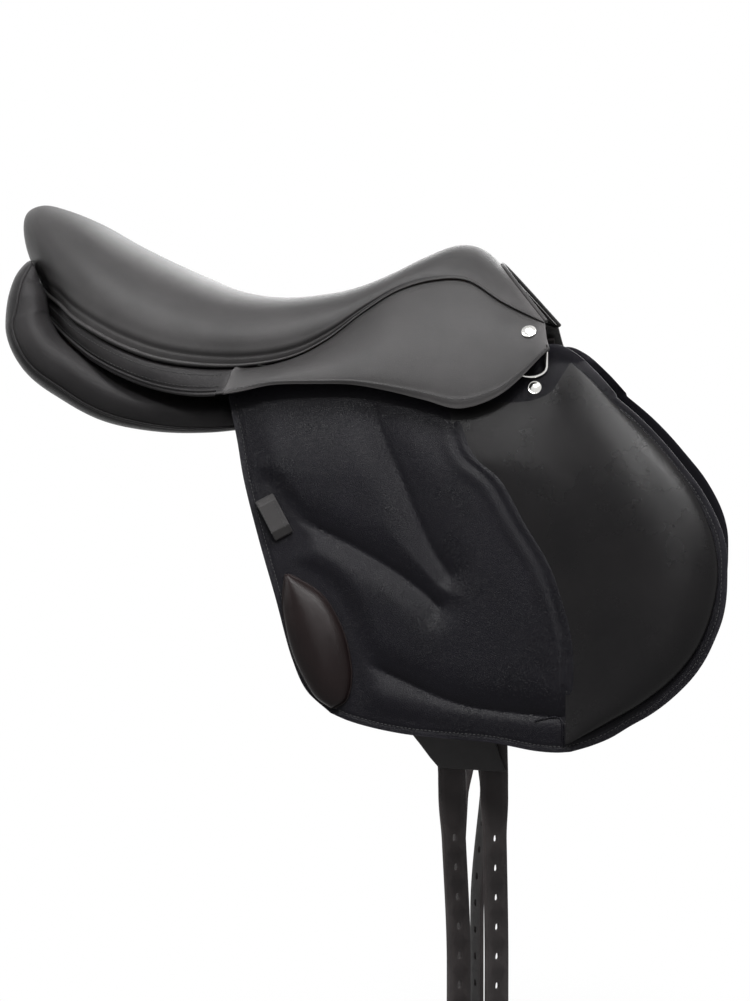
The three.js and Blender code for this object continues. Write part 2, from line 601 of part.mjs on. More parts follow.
// A point inside four edges: u runs along the top and bottom, v along the two sides
function patch(top, bottom, sideA, sideB, u, v) {
  const [p, q, a, b] = [top.getPoint(u), bottom.getPoint(u), sideA.getPoint(v), sideB.getPoint(v)];
  const corners = between(between(top.getPoint(0), top.getPoint(1), u), between(bottom.getPoint(0), bottom.getPoint(1), u), v);
  return between(p, q, v).add(between(a, b, u)).sub(corners);
}
const onFlap = (place, lift) => vec(place.x, -flapHalfSpan(place.x, place.z) - lift, place.z);

// Knee pad: [width share, drop share] of its rear seam and of its front rim, from the top down
const kneeSeamShares = [[0.44, 0], [0.47, 0.16], [0.53, 0.24], [0.582, 0.36], [0.635, 0.48], [0.662, 0.58], [0.682, 0.68], [0.688, 0.77], [0.689, 0.86], [0.69, 0.975]];
const kneeRimShares = [[0.745, 0], [0.825, 0.1], [0.905, 0.25], [0.944, 0.375], [0.96, 0.485], [0.95, 0.595], [0.927, 0.695], [0.888, 0.775], [0.83, 0.85], [0.755, 0.92], [0.698, 0.972]];
// Thigh pad: the same of its rear and front edges
const thighRearShares = [[0.128, 0.512], [0.127, 0.6], [0.145, 0.715], [0.168, 0.79], [0.198, 0.855], [0.228, 0.885]];
const thighFrontShares = [[0.135, 0.508], [0.2, 0.565], [0.242, 0.655], [0.262, 0.745], [0.266, 0.81], [0.256, 0.865], [0.232, 0.887]];
const crownAt = (u, v, fullness) => Math.max(0, Math.sin(Math.PI * u)) ** fullness * Math.max(0, Math.sin(Math.PI * v)) ** fullness;

// Flap top, above the line that the flap lifts on: it stays on the tree
const flapTopEdgeShares = [[0, 0.16], [0.1, 0.66], [0.33, 0.7], [0.45, 0.75], [0.58, 1.05], [0.65, 1.5], [0.69, 1.3], [0.74, 0.68], [0.778, 0.08]];
const lineButt = 2 * clearance;
const padRootThickness = 2.5; // edge of a pad above the leather it is sewn to
function buildFlaps() {
  const flapFace = (lift) => (u, v) => onFlap(patch(flapTop, flapBottom, flapRear, flapFront, u, v), lift);
  const us = evenSteps(0, 1, 14);
  addPair("flap", gridSolid(flapFace(0), flapFace(-flapThickness), us, evenSteps(0, 1, 14)), finishes.flapLeather);

  const edge = spline(flapTopEdgeShares.map(([x, z]) => vec(flapRearX + x * flapWidth, 0, flapLineHeight + lineButt + z * flapLineHeight)));
  const topFace = (lift) => (u, v) => {
    const high = edge.getPoint(u);
    const low = vec(mix(flapRearX, flapTopFront.x, u), 0, flapLineHeight + lineButt);
    return onFlap(between(high, low, v), lift);
  };
  addPair("flap_top", gridSolid(topFace(0), topFace(-flapThickness), us, [0, 0.5, 1]), finishes.flapLeather);

  const seam = spline(kneeSeamShares.map(flapPlace));
  const rim = spline(kneeRimShares.map(flapPlace));
  const kneeTop = spline([flapPlace(kneeSeamShares[0]), flapPlace(kneeRimShares[0])]);
  const kneeFoot = spline([flapPlace(kneeSeamShares.at(-1)), flapPlace(kneeRimShares.at(-1))]);
  const knee = (lift, crown) => (u, v) => onFlap(patch(kneeTop, kneeFoot, seam, rim, u, v), lift + crown * crownAt(u, mix(0.12, 1, v), 0.6));
  const kneeSolid = gridSolid(knee(clearance + padRootThickness, kneePadCrown - padRootThickness), knee(clearance, 0), evenSteps(0, 1, 9), evenSteps(0, 1, 12));
  addPair("knee_pad", kneeSolid, finishes.flapLeather);

  const thighRear = spline(thighRearShares.map(flapPlace));
  const thighFront = spline(thighFrontShares.map(flapPlace));
  const thighTop = spline([flapPlace(thighRearShares[0]), flapPlace(thighFrontShares[0])]);
  const thighFoot = spline([flapPlace(thighRearShares.at(-1)), flapPlace(thighFrontShares.at(-1))]);
  const thigh = (lift, crown) => (u, v) => onFlap(patch(thighTop, thighFoot, thighRear, thighFront, u, v), lift + crown * crownAt(u, v, 0.55));
  const thighSolid = gridSolid(thigh(clearance + padRootThickness, thighPadCrown - padRootThickness), thigh(clearance, 0), evenSteps(0, 1, 7), evenSteps(0, 1, 9));
  addPair("thigh_pad", thighSolid, finishes.brownLeather);
}

// A nail's round head on a face, with its dome towards out
const domeSides = 12;
const domeShares = [[0, 0], [1, 0], [1, 0.35], [0.82, 0.75], [0.45, 0.97], [0, 1]];
function domeOn(place, out, radius, height) {
  const points = domeShares.map(([r, h]) => new THREE.Vector2(r * radius, clearance + h * height));
  const turn = new THREE.Quaternion().setFromUnitVectors(vec(0, 1, 0), out);
  return new THREE.LatheGeometry(points, domeSides).applyQuaternion(turn).translate(place.x, place.y, place.z);
}
const upperNailShares = [0.98, 0.55]; // [share of the stations, fall share] on the skirt
const onSkirt = ([along, fall]) => [along * lastStation, fall];
const lowerNailShares = [0.616, -0.028]; // [width share, drop share] on the flap
const lowerNailShare = 0.9;
const flapReach = { u: 1, v: 1 };
const outOfFlap = outOf((x, z) => onFlap(vec(x, 0, z), 0), flapReach);
function buildNails() {
  const [station, fall] = onSkirt(upperNailShares);
  const skirtOut = outOf(skirtFace, skirtReach)(station, fall);
  addPair("skirt_nail", domeOn(skirtFace(station, fall), skirtOut, nailRadius, nailHeight), finishes.bright);
  const place = flapPlace(lowerNailShares);
  const flapNail = domeOn(onFlap(place, 0), outOfFlap(place.x, place.z), nailRadius * lowerNailShare, nailHeight);
  addPair("flap_nail", flapNail, finishes.bright);
}

// The keeper: a short strap sewn down at both ends, with room under it for the stirrup leather's end
const keeperShares = [0.102, 0.348]; // its middle on the flap
const keeperSlopeDegrees = 28; // from upright, in degrees
const keeperFootShare = 0.17;
function buildKeepers() {
  const place = flapPlace(keeperShares);
  const out = outOfFlap(place.x, place.z);
  const long = vec(Math.sin(rad(keeperSlopeDegrees)), 0, -Math.cos(rad(keeperSlopeDegrees)));
  const across = out.clone().cross(long).normalize();
  const along = across.clone().cross(out).normalize();
  const [half, foot, high] = [keeperLength / 2, keeperFootShare * keeperLength, keeperRoom + keeperThickness];
  const profile = new THREE.Shape([
    [-half, 0], [foot - half, 0], [foot - half, keeperRoom], [half - foot, keeperRoom], [half - foot, 0],
    [half, 0], [half, keeperThickness], [half - foot, high], [foot - half, high], [-half, keeperThickness],
  ].map(([x, y]) => new THREE.Vector2(x, y + clearance)));
  const loop = new THREE.ExtrudeGeometry(profile, { depth: keeperWidth, bevelEnabled: false });
  loop.translate(0, 0, -keeperWidth / 2);
  loop.applyMatrix4(new THREE.Matrix4().makeBasis(along, out, along.clone().cross(out)).setPosition(onFlap(place, 0)));
  addPair("strap_keeper", loop, finishes.flapLeather);
}

// Girth straps: a fixed run behind the flap, from the tree's point to the guard, and a free run below it.
// Places along the saddle are shares of the flap's width.
const runTopShares = { rear: 0.407, front: 0.515 };
const hangs = {
  right: { footShares: { rear: 0.454, front: 0.5386 }, turned: 43, swayShares: { rear: 0.25, front: 0.1 } },
  left: { footShares: { rear: 0.4215, front: 0.481 }, turned: 60, swayShares: { rear: -0.25, front: -0.5 } },
};
const runRise = 346.7; // height of the fixed run
const runSpanShares = [[0, 0.746], [0.05, 0.798], [0.1, 0.848], [0.122, 0.86], [0.5, 0.916], [1, 1]]; // [fall share, span share]
const strapButt = 3 * clearance; // room to swing, between the two runs
const flapX = (share) => flapRearX + share * flapWidth;
function runPoint(side, run, fall, wide, thick) {
  const after = runSpanShares.findIndex(([f]) => f >= fall);
  const [[f0, s0], [f1, s1]] = [runSpanShares[Math.max(after - 1, 0)], runSpanShares[Math.max(after, 1)]];
  const span = mix(s0, s1, (fall - f0) / (f1 - f0)) * strapHalfSpan;
  const x = mix(flapX(runTopShares[run]), flapX(hangs[side].footShares[run]), fall);
  return vec(x + (wide * strapWidth) / 2, -span - thick, strapTopHeight + strapButt + (1 - fall) * runRise);
}

// The free run hangs from a line along the saddle: it turns on itself, sways a little and ends in a point
const turnLength = 55;
const swayEndShare = 0.55; // of the strap, where its sway ends
const tipShares = [0.9, 0.45]; // where its end starts to narrow, and how narrow it gets
function strapPoint(side, run, drop, wide, thick) {
  const { footShares, turned, swayShares } = hangs[side];
  const turn = rad(turned) * smooth(drop, 0, turnLength);
  const x = flapX(footShares[run]) + swayShares[run] * strapWidth * smooth(drop, 0, swayEndShare * strapLength);
  const half = (wide * strapWidth) / 2;
  return vec(
    x + Math.cos(turn) * half + Math.sin(turn) * thick,
    -strapHalfSpan + Math.sin(turn) * half - Math.cos(turn) * thick,
    strapTopHeight - drop,
  );
}
function strapHoles(side, run) {
  return Array.from({ length: strapHoleCount }, (_, i) => {
    const drop = strapHoleStart + i * strapHolePitch;
    const out = strapPoint(side, run, drop, 0, 1).sub(strapPoint(side, run, drop, 0, 0));
    const punch = new THREE.CylinderGeometry(strapHoleRadius, strapHoleRadius, strapThickness + 2 * overrunLength, 6);
    const turn = new THREE.Quaternion().setFromUnitVectors(vec(0, 1, 0), out);
    const place = strapPoint(side, run, drop, 0, 0);
    return toSolid(punch.applyQuaternion(turn).translate(place.x, place.y, place.z));
  });
}
const turnRows = 5;
const swayRows = 5;
function buildStraps() {
  const half = strapThickness / 2;
  for (const side of Object.keys(hangs)) {
    const place = (geometry) => (side === "left" ? mirrored(geometry) : geometry);
    for (const run of Object.keys(runTopShares)) {
      const fixed = (thick) => (fall, wide) => runPoint(side, run, fall, wide, thick);
      const fixedSolid = gridSolid(fixed(half), fixed(-half), runSpanShares.map(([fall]) => fall), [-1, 1]);
      add(`girth_web_${run}_${side}`, place(fixedSolid), finishes.strapLeather);

      const tipStart = tipShares[0] * strapLength;
      const narrow = (drop) => mix(1, tipShares[1], Math.max(0, (drop - tipStart) / (strapLength - tipStart)));
      const free = (thick) => (drop, wide) => strapPoint(side, run, drop, wide * narrow(drop), thick);
      const drops = [...evenSteps(0, turnLength, turnRows), ...evenSteps(turnLength, swayEndShare * strapLength, swayRows).slice(1), tipStart, strapLength];
      const blank = toSolid(gridSolid(free(half), free(-half), drops, [-1, 1]));
      const strap = strapHoles(side, run).reduce((solid, punch) => solid.subtract(punch), blank);
      add(`girth_strap_${run}_${side}`, place(toGeometry(strap)), finishes.strapLeather);
    }
    add(`strap_guard_${side}`, place(guardGeometry(side)), finishes.flapLeather);
  }
}

// The guard: a leather that narrows downwards over both fixed runs,
// [guard depth share from the nearer strap, guard depth share upwards]
const guardRearShares = [[-0.5, 1], [-0.52, 0.78], [-0.46, 0.45], [-0.32, 0.28], [-0.22, 0.15], [-0.13, 0.05]];
const guardFrontShares = [[0.12, 0.02], [0.06, 0.2], [0, 0.37], [-0.07, 0.78], [-0.09, 1]];
const guardFootHeight = 2; // its lower edge above the line that the straps bend on
function guardGeometry(side) {
  const { footShares } = hangs[side];
  const corner = (run) => ([x, z]) => new THREE.Vector2(flapX(footShares[run]) + x * guardDepth, guardFootHeight + z * guardDepth);
  const outline = [...guardRearShares.map(corner("rear")), ...guardFrontShares.map(corner("front"))];
  const guard = new THREE.ExtrudeGeometry(new THREE.Shape(outline), { depth: guardThickness, bevelEnabled: false });
  const p = guard.getAttribute("position");
  for (let i = 0; i < p.count; i += 1) {
    const rise = p.getY(i);
    const span = -runPoint(side, "rear", 1 - (rise - strapButt) / runRise, 0, 0).y;
    const lift = strapThickness / 2 + clearance + p.getZ(i);
    p.setXYZ(i, p.getX(i), -span - lift, strapTopHeight + rise);
  }
  return guard;
}

// A ring hangs in a leather loop that the skirt's nail holds, and rests against the flap's top
const boreShares = [0.9821, 0.88]; // [share of the stations, fall share] of the skirt over the loop's bore
const chapeWidth = 13;
const chapeRise = 10;
const chapeGap = 3 * clearance;
const deeCornerRadius = 5;
const deeSides = 6;
function deeRoute() {
  const low = deeCornerRadius - deeDrop;
  const round = evenSteps(0, Math.PI, 8).map((turn) => [deeHalfWidth * Math.cos(turn), low - (deeHalfWidth - deeCornerRadius) * Math.sin(turn)]);
  return [[-deeHalfWidth / 2, 0], [0, 0], [deeHalfWidth / 2, 0], [deeHalfWidth, 0], ...round, [-deeHalfWidth, 0]];
}
function buildDees() {
  const bore = deeWire + clearance;
  const outer = bore + chapeThickness;
  const place = skirtFace(...onSkirt(boreShares));
  const out = outOf(skirtFace, skirtReach)(...onSkirt(boreShares)).setX(0).normalize();
  const along = vec(1, 0, 0);
  const up = out.clone().cross(along);
  const middle = place.addScaledVector(out, -skirtThickness - chapeGap - outer);

  const loop = new THREE.Shape();
  loop.moveTo(outer, chapeRise);
  loop.lineTo(0, chapeRise);
  loop.absarc(0, 0, outer, Math.PI / 2, 2 * Math.PI, false);
  loop.closePath();
  hole(loop, 0, 0, bore);
  const chape = new THREE.ExtrudeGeometry(loop, { depth: chapeWidth, bevelEnabled: false, curveSegments: 6 });
  const basis = new THREE.Matrix4().makeBasis(out, up, out.clone().cross(up));
  addPair("dee_chape", chape.translate(0, 0, -chapeWidth / 2).applyMatrix4(basis.setPosition(middle)), finishes.strapLeather);

  const rest = flapHalfSpan(middle.x, middle.z - deeDrop - deeWire) + deeWire + 2 * clearance;
  const hang = vec(0, -rest - middle.y, -deeDrop).normalize();
  const face = hang.clone().cross(along).normalize();
  const route = deeRoute();
  const points = [];
  const faces = [];
  route.forEach(([x, z], i) => {
    const [ahead, behind] = [route[(i + 1) % route.length], route.at(i - 1)];
    const side = new THREE.Vector2(ahead[1] - behind[1], behind[0] - ahead[0]).normalize();
    for (let k = 0; k < deeSides; k += 1) {
      const turn = (2 * Math.PI * k) / deeSides;
      const [wide, thick] = [deeWire * Math.cos(turn), deeWire * Math.sin(turn)];
      const centre = middle.clone().addScaledVector(along, x + side.x * wide).addScaledVector(hang, -z - side.y * wide);
      points.push(centre.addScaledVector(face, thick));
      const [a, b] = [i * deeSides + k, i * deeSides + ((k + 1) % deeSides)];
      const step = deeSides * (i + 1 === route.length ? -i : 1);
      faces.push([a, b, b + step], [a, b + step, a + step]);
    }
  });
  addPair("dee_ring", closedSolid(points, faces), finishes.bright);
}

// A leather facing closes the front of the head, and a leather lining covers the head's underside
const facingDepth = 22;
const facingEdge = 5 * acrossStep;
function buildFacing() {
  const facing = seatLayer([headSteps[1] + buttStep, lastStation], [0, facingEdge], flat(coverThickness + clearance), flat(facingDepth));
  add("pommel_facing", facing, finishes.seatLeather);
}

buildSeat();
buildWebs();
buildTree();
buildSkirts();
buildPanels();
buildPoints();
buildStirrupBars();
buildFlaps();
buildNails();
buildKeepers();
buildStraps();
buildDees();
buildFacing();

export default saddle;
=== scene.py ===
# %% [markdown]
# # Dressing a jumping saddle
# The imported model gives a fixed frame: where every piece lies and how the moving ones turn.
# This lesson lays leather, thread, wood and metal over that frame. Each cell makes one piece or one
# finish, and the text before it says what the piece is on a real saddle and why it is made this way.

# %% Load the frame
import math

import bmesh
import bpy
import numpy as np
from mathutils import Matrix, Vector


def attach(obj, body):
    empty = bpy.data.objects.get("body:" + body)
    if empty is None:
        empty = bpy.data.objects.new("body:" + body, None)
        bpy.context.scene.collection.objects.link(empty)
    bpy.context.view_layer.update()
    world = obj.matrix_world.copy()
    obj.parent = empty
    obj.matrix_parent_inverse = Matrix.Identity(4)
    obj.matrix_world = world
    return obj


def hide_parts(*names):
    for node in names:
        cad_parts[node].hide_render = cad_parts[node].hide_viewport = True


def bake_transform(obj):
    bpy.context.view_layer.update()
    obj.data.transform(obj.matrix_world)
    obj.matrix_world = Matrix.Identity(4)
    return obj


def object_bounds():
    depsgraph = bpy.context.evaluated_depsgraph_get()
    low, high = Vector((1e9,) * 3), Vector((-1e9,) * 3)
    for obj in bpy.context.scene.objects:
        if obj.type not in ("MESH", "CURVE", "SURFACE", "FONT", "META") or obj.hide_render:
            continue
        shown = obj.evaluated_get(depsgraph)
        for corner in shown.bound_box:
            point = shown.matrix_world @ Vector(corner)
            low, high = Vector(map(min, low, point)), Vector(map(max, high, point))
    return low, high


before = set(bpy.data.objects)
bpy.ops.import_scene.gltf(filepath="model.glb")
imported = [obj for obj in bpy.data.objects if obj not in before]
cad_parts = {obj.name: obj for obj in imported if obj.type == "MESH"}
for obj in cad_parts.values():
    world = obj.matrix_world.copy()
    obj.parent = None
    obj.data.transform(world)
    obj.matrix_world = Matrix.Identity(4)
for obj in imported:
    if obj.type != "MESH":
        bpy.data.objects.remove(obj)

cad_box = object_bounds()

# %% [markdown]
# ## Camera
# The photograph was taken from about 2.4 m, level with the saddle and a little towards its front. A long
# lens keeps the far side close behind the near one. The camera looks at the point of the middle plane
# that lies at the picture's centre, so the saddle falls where it does in the photograph.

# %% Camera
picture = (750, 1001)  # pixels
picture_origin = (285, 430)  # the pixel that shows the frame's origin
metres_per_pixel = 0.0009
camera_distance = 2.45
camera_turn, camera_lift = math.radians(7.5), math.radians(2.5)
sensor_height = 24  # in millimetres, like the lens
towards_front = (picture[0] / 2 - picture_origin[0]) * metres_per_pixel
above_origin = (picture_origin[1] - picture[1] / 2) * metres_per_pixel
look_at = Vector((towards_front / math.cos(camera_turn), 0, above_origin))
towards_camera = Vector((
    math.sin(camera_turn) * math.cos(camera_lift),
    -math.cos(camera_turn) * math.cos(camera_lift),
    math.sin(camera_lift),
))


def add_object(name, data):
    """Puts a mesh, a lamp or a camera into the scene, at the origin."""
    made = bpy.data.objects.new(name, data)
    bpy.context.scene.collection.objects.link(made)
    return made


lens = bpy.data.cameras.new("photo_lens")
lens.sensor_fit = "VERTICAL"
lens.sensor_height = sensor_height
lens.lens = sensor_height * camera_distance / (picture[1] * metres_per_pixel)
camera = add_object("photo_camera", lens)
camera.location = look_at + towards_camera * camera_distance
camera.rotation_euler = (-towards_camera).to_track_quat("-Z", "Y").to_euler()
bpy.context.scene.camera = camera
print(f"camera: {lens.lens:.1f} mm lens at {tuple(round(c, 3) for c in camera.location)}")

# %% [markdown]
# ## Light
# A saddle is photographed under large soft lamps, so that black leather shows long, soft highlights
# instead of sparks. One wide lamp hangs above and a little in front. The key stands before the saddle's
# right side, one lights it from the pommel and one from the cantle, and a weak one fills from the left.

# %% Lamps
saddle_middle = (0.08, 0, -0.05)
lamps = {  # place, size and watts
    "lamp_above": ((0.0, -0.55, 1.7), (0.9, 0.5), 36),
    "lamp_key": ((0.2, -1.5, 1.35), (0.5, 0.3), 22),
    "lamp_front": ((0.95, -0.75, 1.4), (0.4, 0.5), 30),
    "lamp_rear": ((-1.5, -0.6, 0.9), (0.4, 0.7), 12),
    "lamp_left": ((0.1, 1.9, 0.7), (1.0, 0.8), 7),
}
for name, (place, (wide, deep), watts) in lamps.items():
    light = bpy.data.lights.new(name, "AREA")
    light.shape, light.size, light.size_y, light.energy = "RECTANGLE", wide, deep, watts
    lamp = add_object(name, light)
    lamp.location = place
    lamp.rotation_euler = (Vector(saddle_middle) - Vector(place)).to_track_quat("-Z", "Y").to_euler()
print("lamps:", ", ".join(lamps))

# %% [markdown]
# ## World and floor
# The background of a catalogue picture is white, but a white room would light the saddle far too much. So
# the world and the floor are white only for rays that come from the camera, a gloss or glass, and a plain
# grey for the light they give. Where the saddle closes off the sky over the floor, its white turns darker,
# which keeps the saddle's shadow. Seen from below, the floor is clear.

# %% Nodes
def node(tree, kind, inputs=(), **settings):
    """Adds a node with its settings, and gives its inputs a value or the socket that feeds them."""
    made = tree.nodes.new(kind)
    for label, value in settings.items():
        setattr(made, label, value)
    for label, source in dict(inputs).items():
        if isinstance(source, (int, float, tuple)):
            made.inputs[label].default_value = source
        else:
            tree.links.new(source, made.inputs[label])
    return made


def worked_out(tree, operation, a, b, **settings):
    """What a Math node makes of two values."""
    return node(tree, "ShaderNodeMath", {0: a, 1: b}, operation=operation, **settings).outputs[0]


def ranged(tree, value, given=(0, 1), wanted=(0, 1)):
    """Moves a value from the range it is given in to the range that is wanted."""
    limits = dict(zip(("From Min", "From Max", "To Min", "To Max"), (*given, *wanted)))
    return node(tree, "ShaderNodeMapRange", {"Value": value, **limits}).outputs["Result"]


white = (1, 1, 1, 1)


def white_to_camera(tree, plain, glow, shade=white):
    """Mixes a shader with a white glow, for rays that come from the camera, a gloss or glass."""
    rays = node(tree, "ShaderNodeLightPath").outputs
    seen = worked_out(tree, "MAXIMUM", rays["Is Camera Ray"], rays["Is Glossy Ray"])
    seen = worked_out(tree, "MAXIMUM", seen, rays["Is Transmission Ray"])
    bright = node(tree, glow, {"Color": shade, "Strength": 1})
    return node(tree, "ShaderNodeMixShader", {0: seen, 1: plain.outputs[0], 2: bright.outputs[0]}).outputs[0]


print("node helpers ready")

# %% World
ambient_strength = 0.16
world = bpy.data.worlds.new("plain_room")
world.use_nodes = True
bpy.context.scene.world = world
room = world.node_tree
room.nodes.clear()
ambient = node(room, "ShaderNodeBackground", {"Color": white, "Strength": ambient_strength})
node(room, "ShaderNodeOutputWorld", {"Surface": white_to_camera(room, ambient, "ShaderNodeBackground")})
bpy.context.scene.view_settings.view_transform = "Standard"
print("world:", len(room.nodes), "nodes")

# %% Floor
floor_gap, floor_reach = 0.002, 6  # under the straps' ends, and from the middle to each side
floor_grey, floor_roughness = 0.4, 0.9
shadow_reach, darkest_shadow = 0.4, 0.35
floor_height = cad_box[0][2] - floor_gap
corner_ways = ((-1, -1), (1, -1), (1, 1), (-1, 1))
floor_corners = [(x * floor_reach, y * floor_reach, floor_height) for x, y in corner_ways]
floor_mesh = bpy.data.meshes.new("floor")
floor_mesh.from_pydata(floor_corners, [], [(0, 1, 2, 3)])
floor = add_object("floor", floor_mesh)

floor_paint = bpy.data.materials.new("pale_floor")
floor_paint.use_nodes = True
floor_mesh.materials.append(floor_paint)
floor_tree = floor_paint.node_tree
floor_shader = floor_tree.nodes["Principled BSDF"]
floor_shader.inputs["Base Color"].default_value = (floor_grey, floor_grey, floor_grey, 1)
floor_shader.inputs["Roughness"].default_value = floor_roughness
open_sky = node(floor_tree, "ShaderNodeAmbientOcclusion", {"Distance": shadow_reach})
shadow = ranged(floor_tree, open_sky.outputs["AO"], wanted=(darkest_shadow, 1))
from_above = white_to_camera(floor_tree, floor_shader, "ShaderNodeEmission", shadow)
from_below = node(floor_tree, "ShaderNodeBsdfTransparent").outputs[0]
turned_away = node(floor_tree, "ShaderNodeNewGeometry").outputs["Backfacing"]
one_sided = node(floor_tree, "ShaderNodeMixShader", {0: turned_away, 1: from_above, 2: from_below})
floor_tree.links.new(one_sided.outputs[0], floor_tree.nodes["Material Output"].inputs["Surface"])
print("floor at", round(floor_height, 3))

# %% [markdown]
# ## Shared effects
# Grain and wear lie on every leather, and a weave on each web. So each of them is a node group with named
# inputs, and a material gives it its own values. A group gives out only numbers that change over the
# surface. All read Object coordinates: every piece has its object at the origin, so the pattern stays put in
# any pose.

# %% Helpers for effects
def effect(name, inputs, outputs):
    """An empty shader node group with float inputs {name: value}. Gives its tree, inputs and outputs."""
    tree = bpy.data.node_groups.new(name, "ShaderNodeTree")
    for label, value in inputs.items():
        tree.interface.new_socket(label, in_out="INPUT", socket_type="NodeSocketFloat").default_value = value
    for label in outputs:
        tree.interface.new_socket(label, in_out="OUTPUT", socket_type="NodeSocketFloat")
    return tree, tree.nodes.new("NodeGroupInput").outputs, tree.nodes.new("NodeGroupOutput").inputs


def place_on(tree):
    """The place on the piece, which every pattern follows."""
    return node(tree, "ShaderNodeTexCoord").outputs["Object"]


def two_colours(tree, factor, low, high):
    """Mixes two colours by a factor that changes over the surface."""
    made = node(tree, "ShaderNodeMix", {"Factor": factor}, data_type="RGBA")
    for socket, colour in ((made.inputs[6], low), (made.inputs[7], high)):
        if isinstance(colour, tuple):
            socket.default_value = (*colour, 1)
        else:
            tree.links.new(colour, socket)
    return made.outputs[2]


print("effect helpers ready")

# %% Leather grain
def leather_grain():
    """Pebbles with pores between them, and slow wrinkles: Height for a bump, Spots for colour."""
    inputs = {"Pebbles": 900, "Depth": 1, "Wrinkles": 18, "Wrinkle depth": 0.6}
    tree, given, out = effect("leather_grain", inputs, ["Height", "Spots"])
    place = place_on(tree)
    wobble = node(tree, "ShaderNodeTexNoise", {"Vector": place, "Scale": 260, "Detail": 2})
    wobble_reach = {0: wobble.outputs["Color"], 1: (0.0012, 0.0012, 0.0012)}
    shift = node(tree, "ShaderNodeVectorMath", wobble_reach, operation="MULTIPLY").outputs[0]
    moved = node(tree, "ShaderNodeVectorMath", {0: place, 1: shift}, operation="ADD").outputs[0]
    pebble_cells = {"Vector": moved, "Scale": given["Pebbles"]}
    pebbles = node(tree, "ShaderNodeTexVoronoi", pebble_cells, feature="DISTANCE_TO_EDGE")
    flat_tops = ranged(tree, pebbles.outputs["Distance"], (0, 0.22))
    slow_noise = {"Vector": place, "Scale": given["Wrinkles"], "Detail": 5, "Roughness": 0.62}
    wrinkles = node(tree, "ShaderNodeTexNoise", slow_noise).outputs["Fac"]
    fine = worked_out(tree, "MULTIPLY", flat_tops, given["Depth"])
    slow = worked_out(tree, "MULTIPLY", wrinkles, given["Wrinkle depth"])
    tree.links.new(worked_out(tree, "ADD", fine, slow), out["Height"])
    tree.links.new(wrinkles, out["Spots"])
    return tree


grain_group = leather_grain()
print("grain:", len(grain_group.nodes), "nodes")

# %% Wear and weave
def wear_mask():
    """How worn a place is, from 0 to 1: the piece's own rim attribute, broken up by noise."""
    tree, given, out = effect("wear_mask", {"Spread": 0.6}, ["Wear"])
    rim = node(tree, "ShaderNodeAttribute", attribute_name="rim")
    patches = node(tree, "ShaderNodeTexNoise", {"Vector": place_on(tree), "Scale": 45, "Detail": 4})
    broken = worked_out(tree, "MULTIPLY", rim.outputs["Fac"], patches.outputs["Fac"])
    tree.links.new(worked_out(tree, "MULTIPLY", broken, given["Spread"], use_clamp=True), out["Wear"])
    return tree


def weave_cloth():
    """A plain weave: Height for a bump, and Gap_shade, low in the gaps between threads, for the painted shade
    there.
    """
    tree, given, out = effect("weave_cloth", {"Threads": 1400}, ["Height", "Gap_shade"])
    scaled = {0: place_on(tree), "Scale": given["Threads"]}
    place = node(tree, "ShaderNodeVectorMath", scaled, operation="SCALE").outputs[0]
    waves = {"Vector": place, "Scale": 1}
    along, across = (node(tree, "ShaderNodeTexWave", waves, bands_direction=way) for way in "XY")
    height = worked_out(tree, "MULTIPLY", along.outputs["Fac"], across.outputs["Fac"])
    tree.links.new(height, out["Height"])
    # Where the threads dip, the colour darkens: painted shade in the weave's gaps.
    tree.links.new(ranged(tree, height, (0, 0.2)), out["Gap_shade"])
    return tree


wear_mask()
weave_cloth()
print("effects:", ", ".join(group.name for group in bpy.data.node_groups))

# %% [markdown]
# ## Finishes
# The leather is black and waxed: a very dark base with broad, soft gloss. Calfskin with slow wrinkles covers
# the seat and the skirts, and a darker, duller copy of it the panels and the cantle band; that copy is partly
# the panels' own darker leather and for the rest painted shade, which they get under the seat's overhang. A
# smoother one covers the pads, of which the thigh pad's is browner. A grained hide makes the flaps. A
# leather's base colour is mixed from a deep and a lighter black by slow spots, its rims are a little worn,
# and its roughness changes with the spots. The values that are the same everywhere sit on the shader's own
# sockets.

# %% Helpers for finishes
def new_finish(name):
    """A new material, with its tree and its shader."""
    paint = bpy.data.materials.new(name)
    paint.use_nodes = True
    return paint, paint.node_tree, paint.node_tree.nodes["Principled BSDF"]


def group_in(tree, name, values):
    """Places an effect in a material, with its own values, and gives its outputs."""
    made = tree.nodes.new("ShaderNodeGroup")
    made.node_tree = bpy.data.node_groups[name]
    for label, value in values.items():
        made.inputs[label].default_value = value
    return made.outputs


def add_relief(tree, shader, height, depth):
    """Bumps a finish by a height that changes over the surface. The depth is in metres."""
    relief = node(tree, "ShaderNodeBump", {"Height": height, "Strength": 1, "Distance": depth})
    tree.links.new(relief.outputs["Normal"], shader.inputs["Normal"])


print("finish helpers ready")

# %% Leather and metal
grain_depth = 0.00012
spots = (0.3, 0.7)  # the part of the grain's spots that changes a colour


def leather(name, deep, light, roughness, grain, gloss=0.2):
    """A leather whose colour and roughness change with its spots, and whose worn rims are paler."""
    paint, tree, shader = new_finish(name)
    hide = group_in(tree, "leather_grain", grain)
    wear = group_in(tree, "wear_mask", {"Spread": 0.7})["Wear"]
    base = two_colours(tree, ranged(tree, hide["Spots"], spots), deep, light)
    rubbed = tuple(2.6 * c + 0.012 for c in light)
    tree.links.new(two_colours(tree, wear, base, rubbed), shader.inputs["Base Color"])
    rough = ranged(tree, hide["Spots"], spots, (roughness - 0.02, roughness + 0.03))
    tree.links.new(rough, shader.inputs["Roughness"])
    add_relief(tree, shader, hide["Height"], grain_depth)
    shader.inputs["Specular IOR Level"].default_value = gloss
    return paint


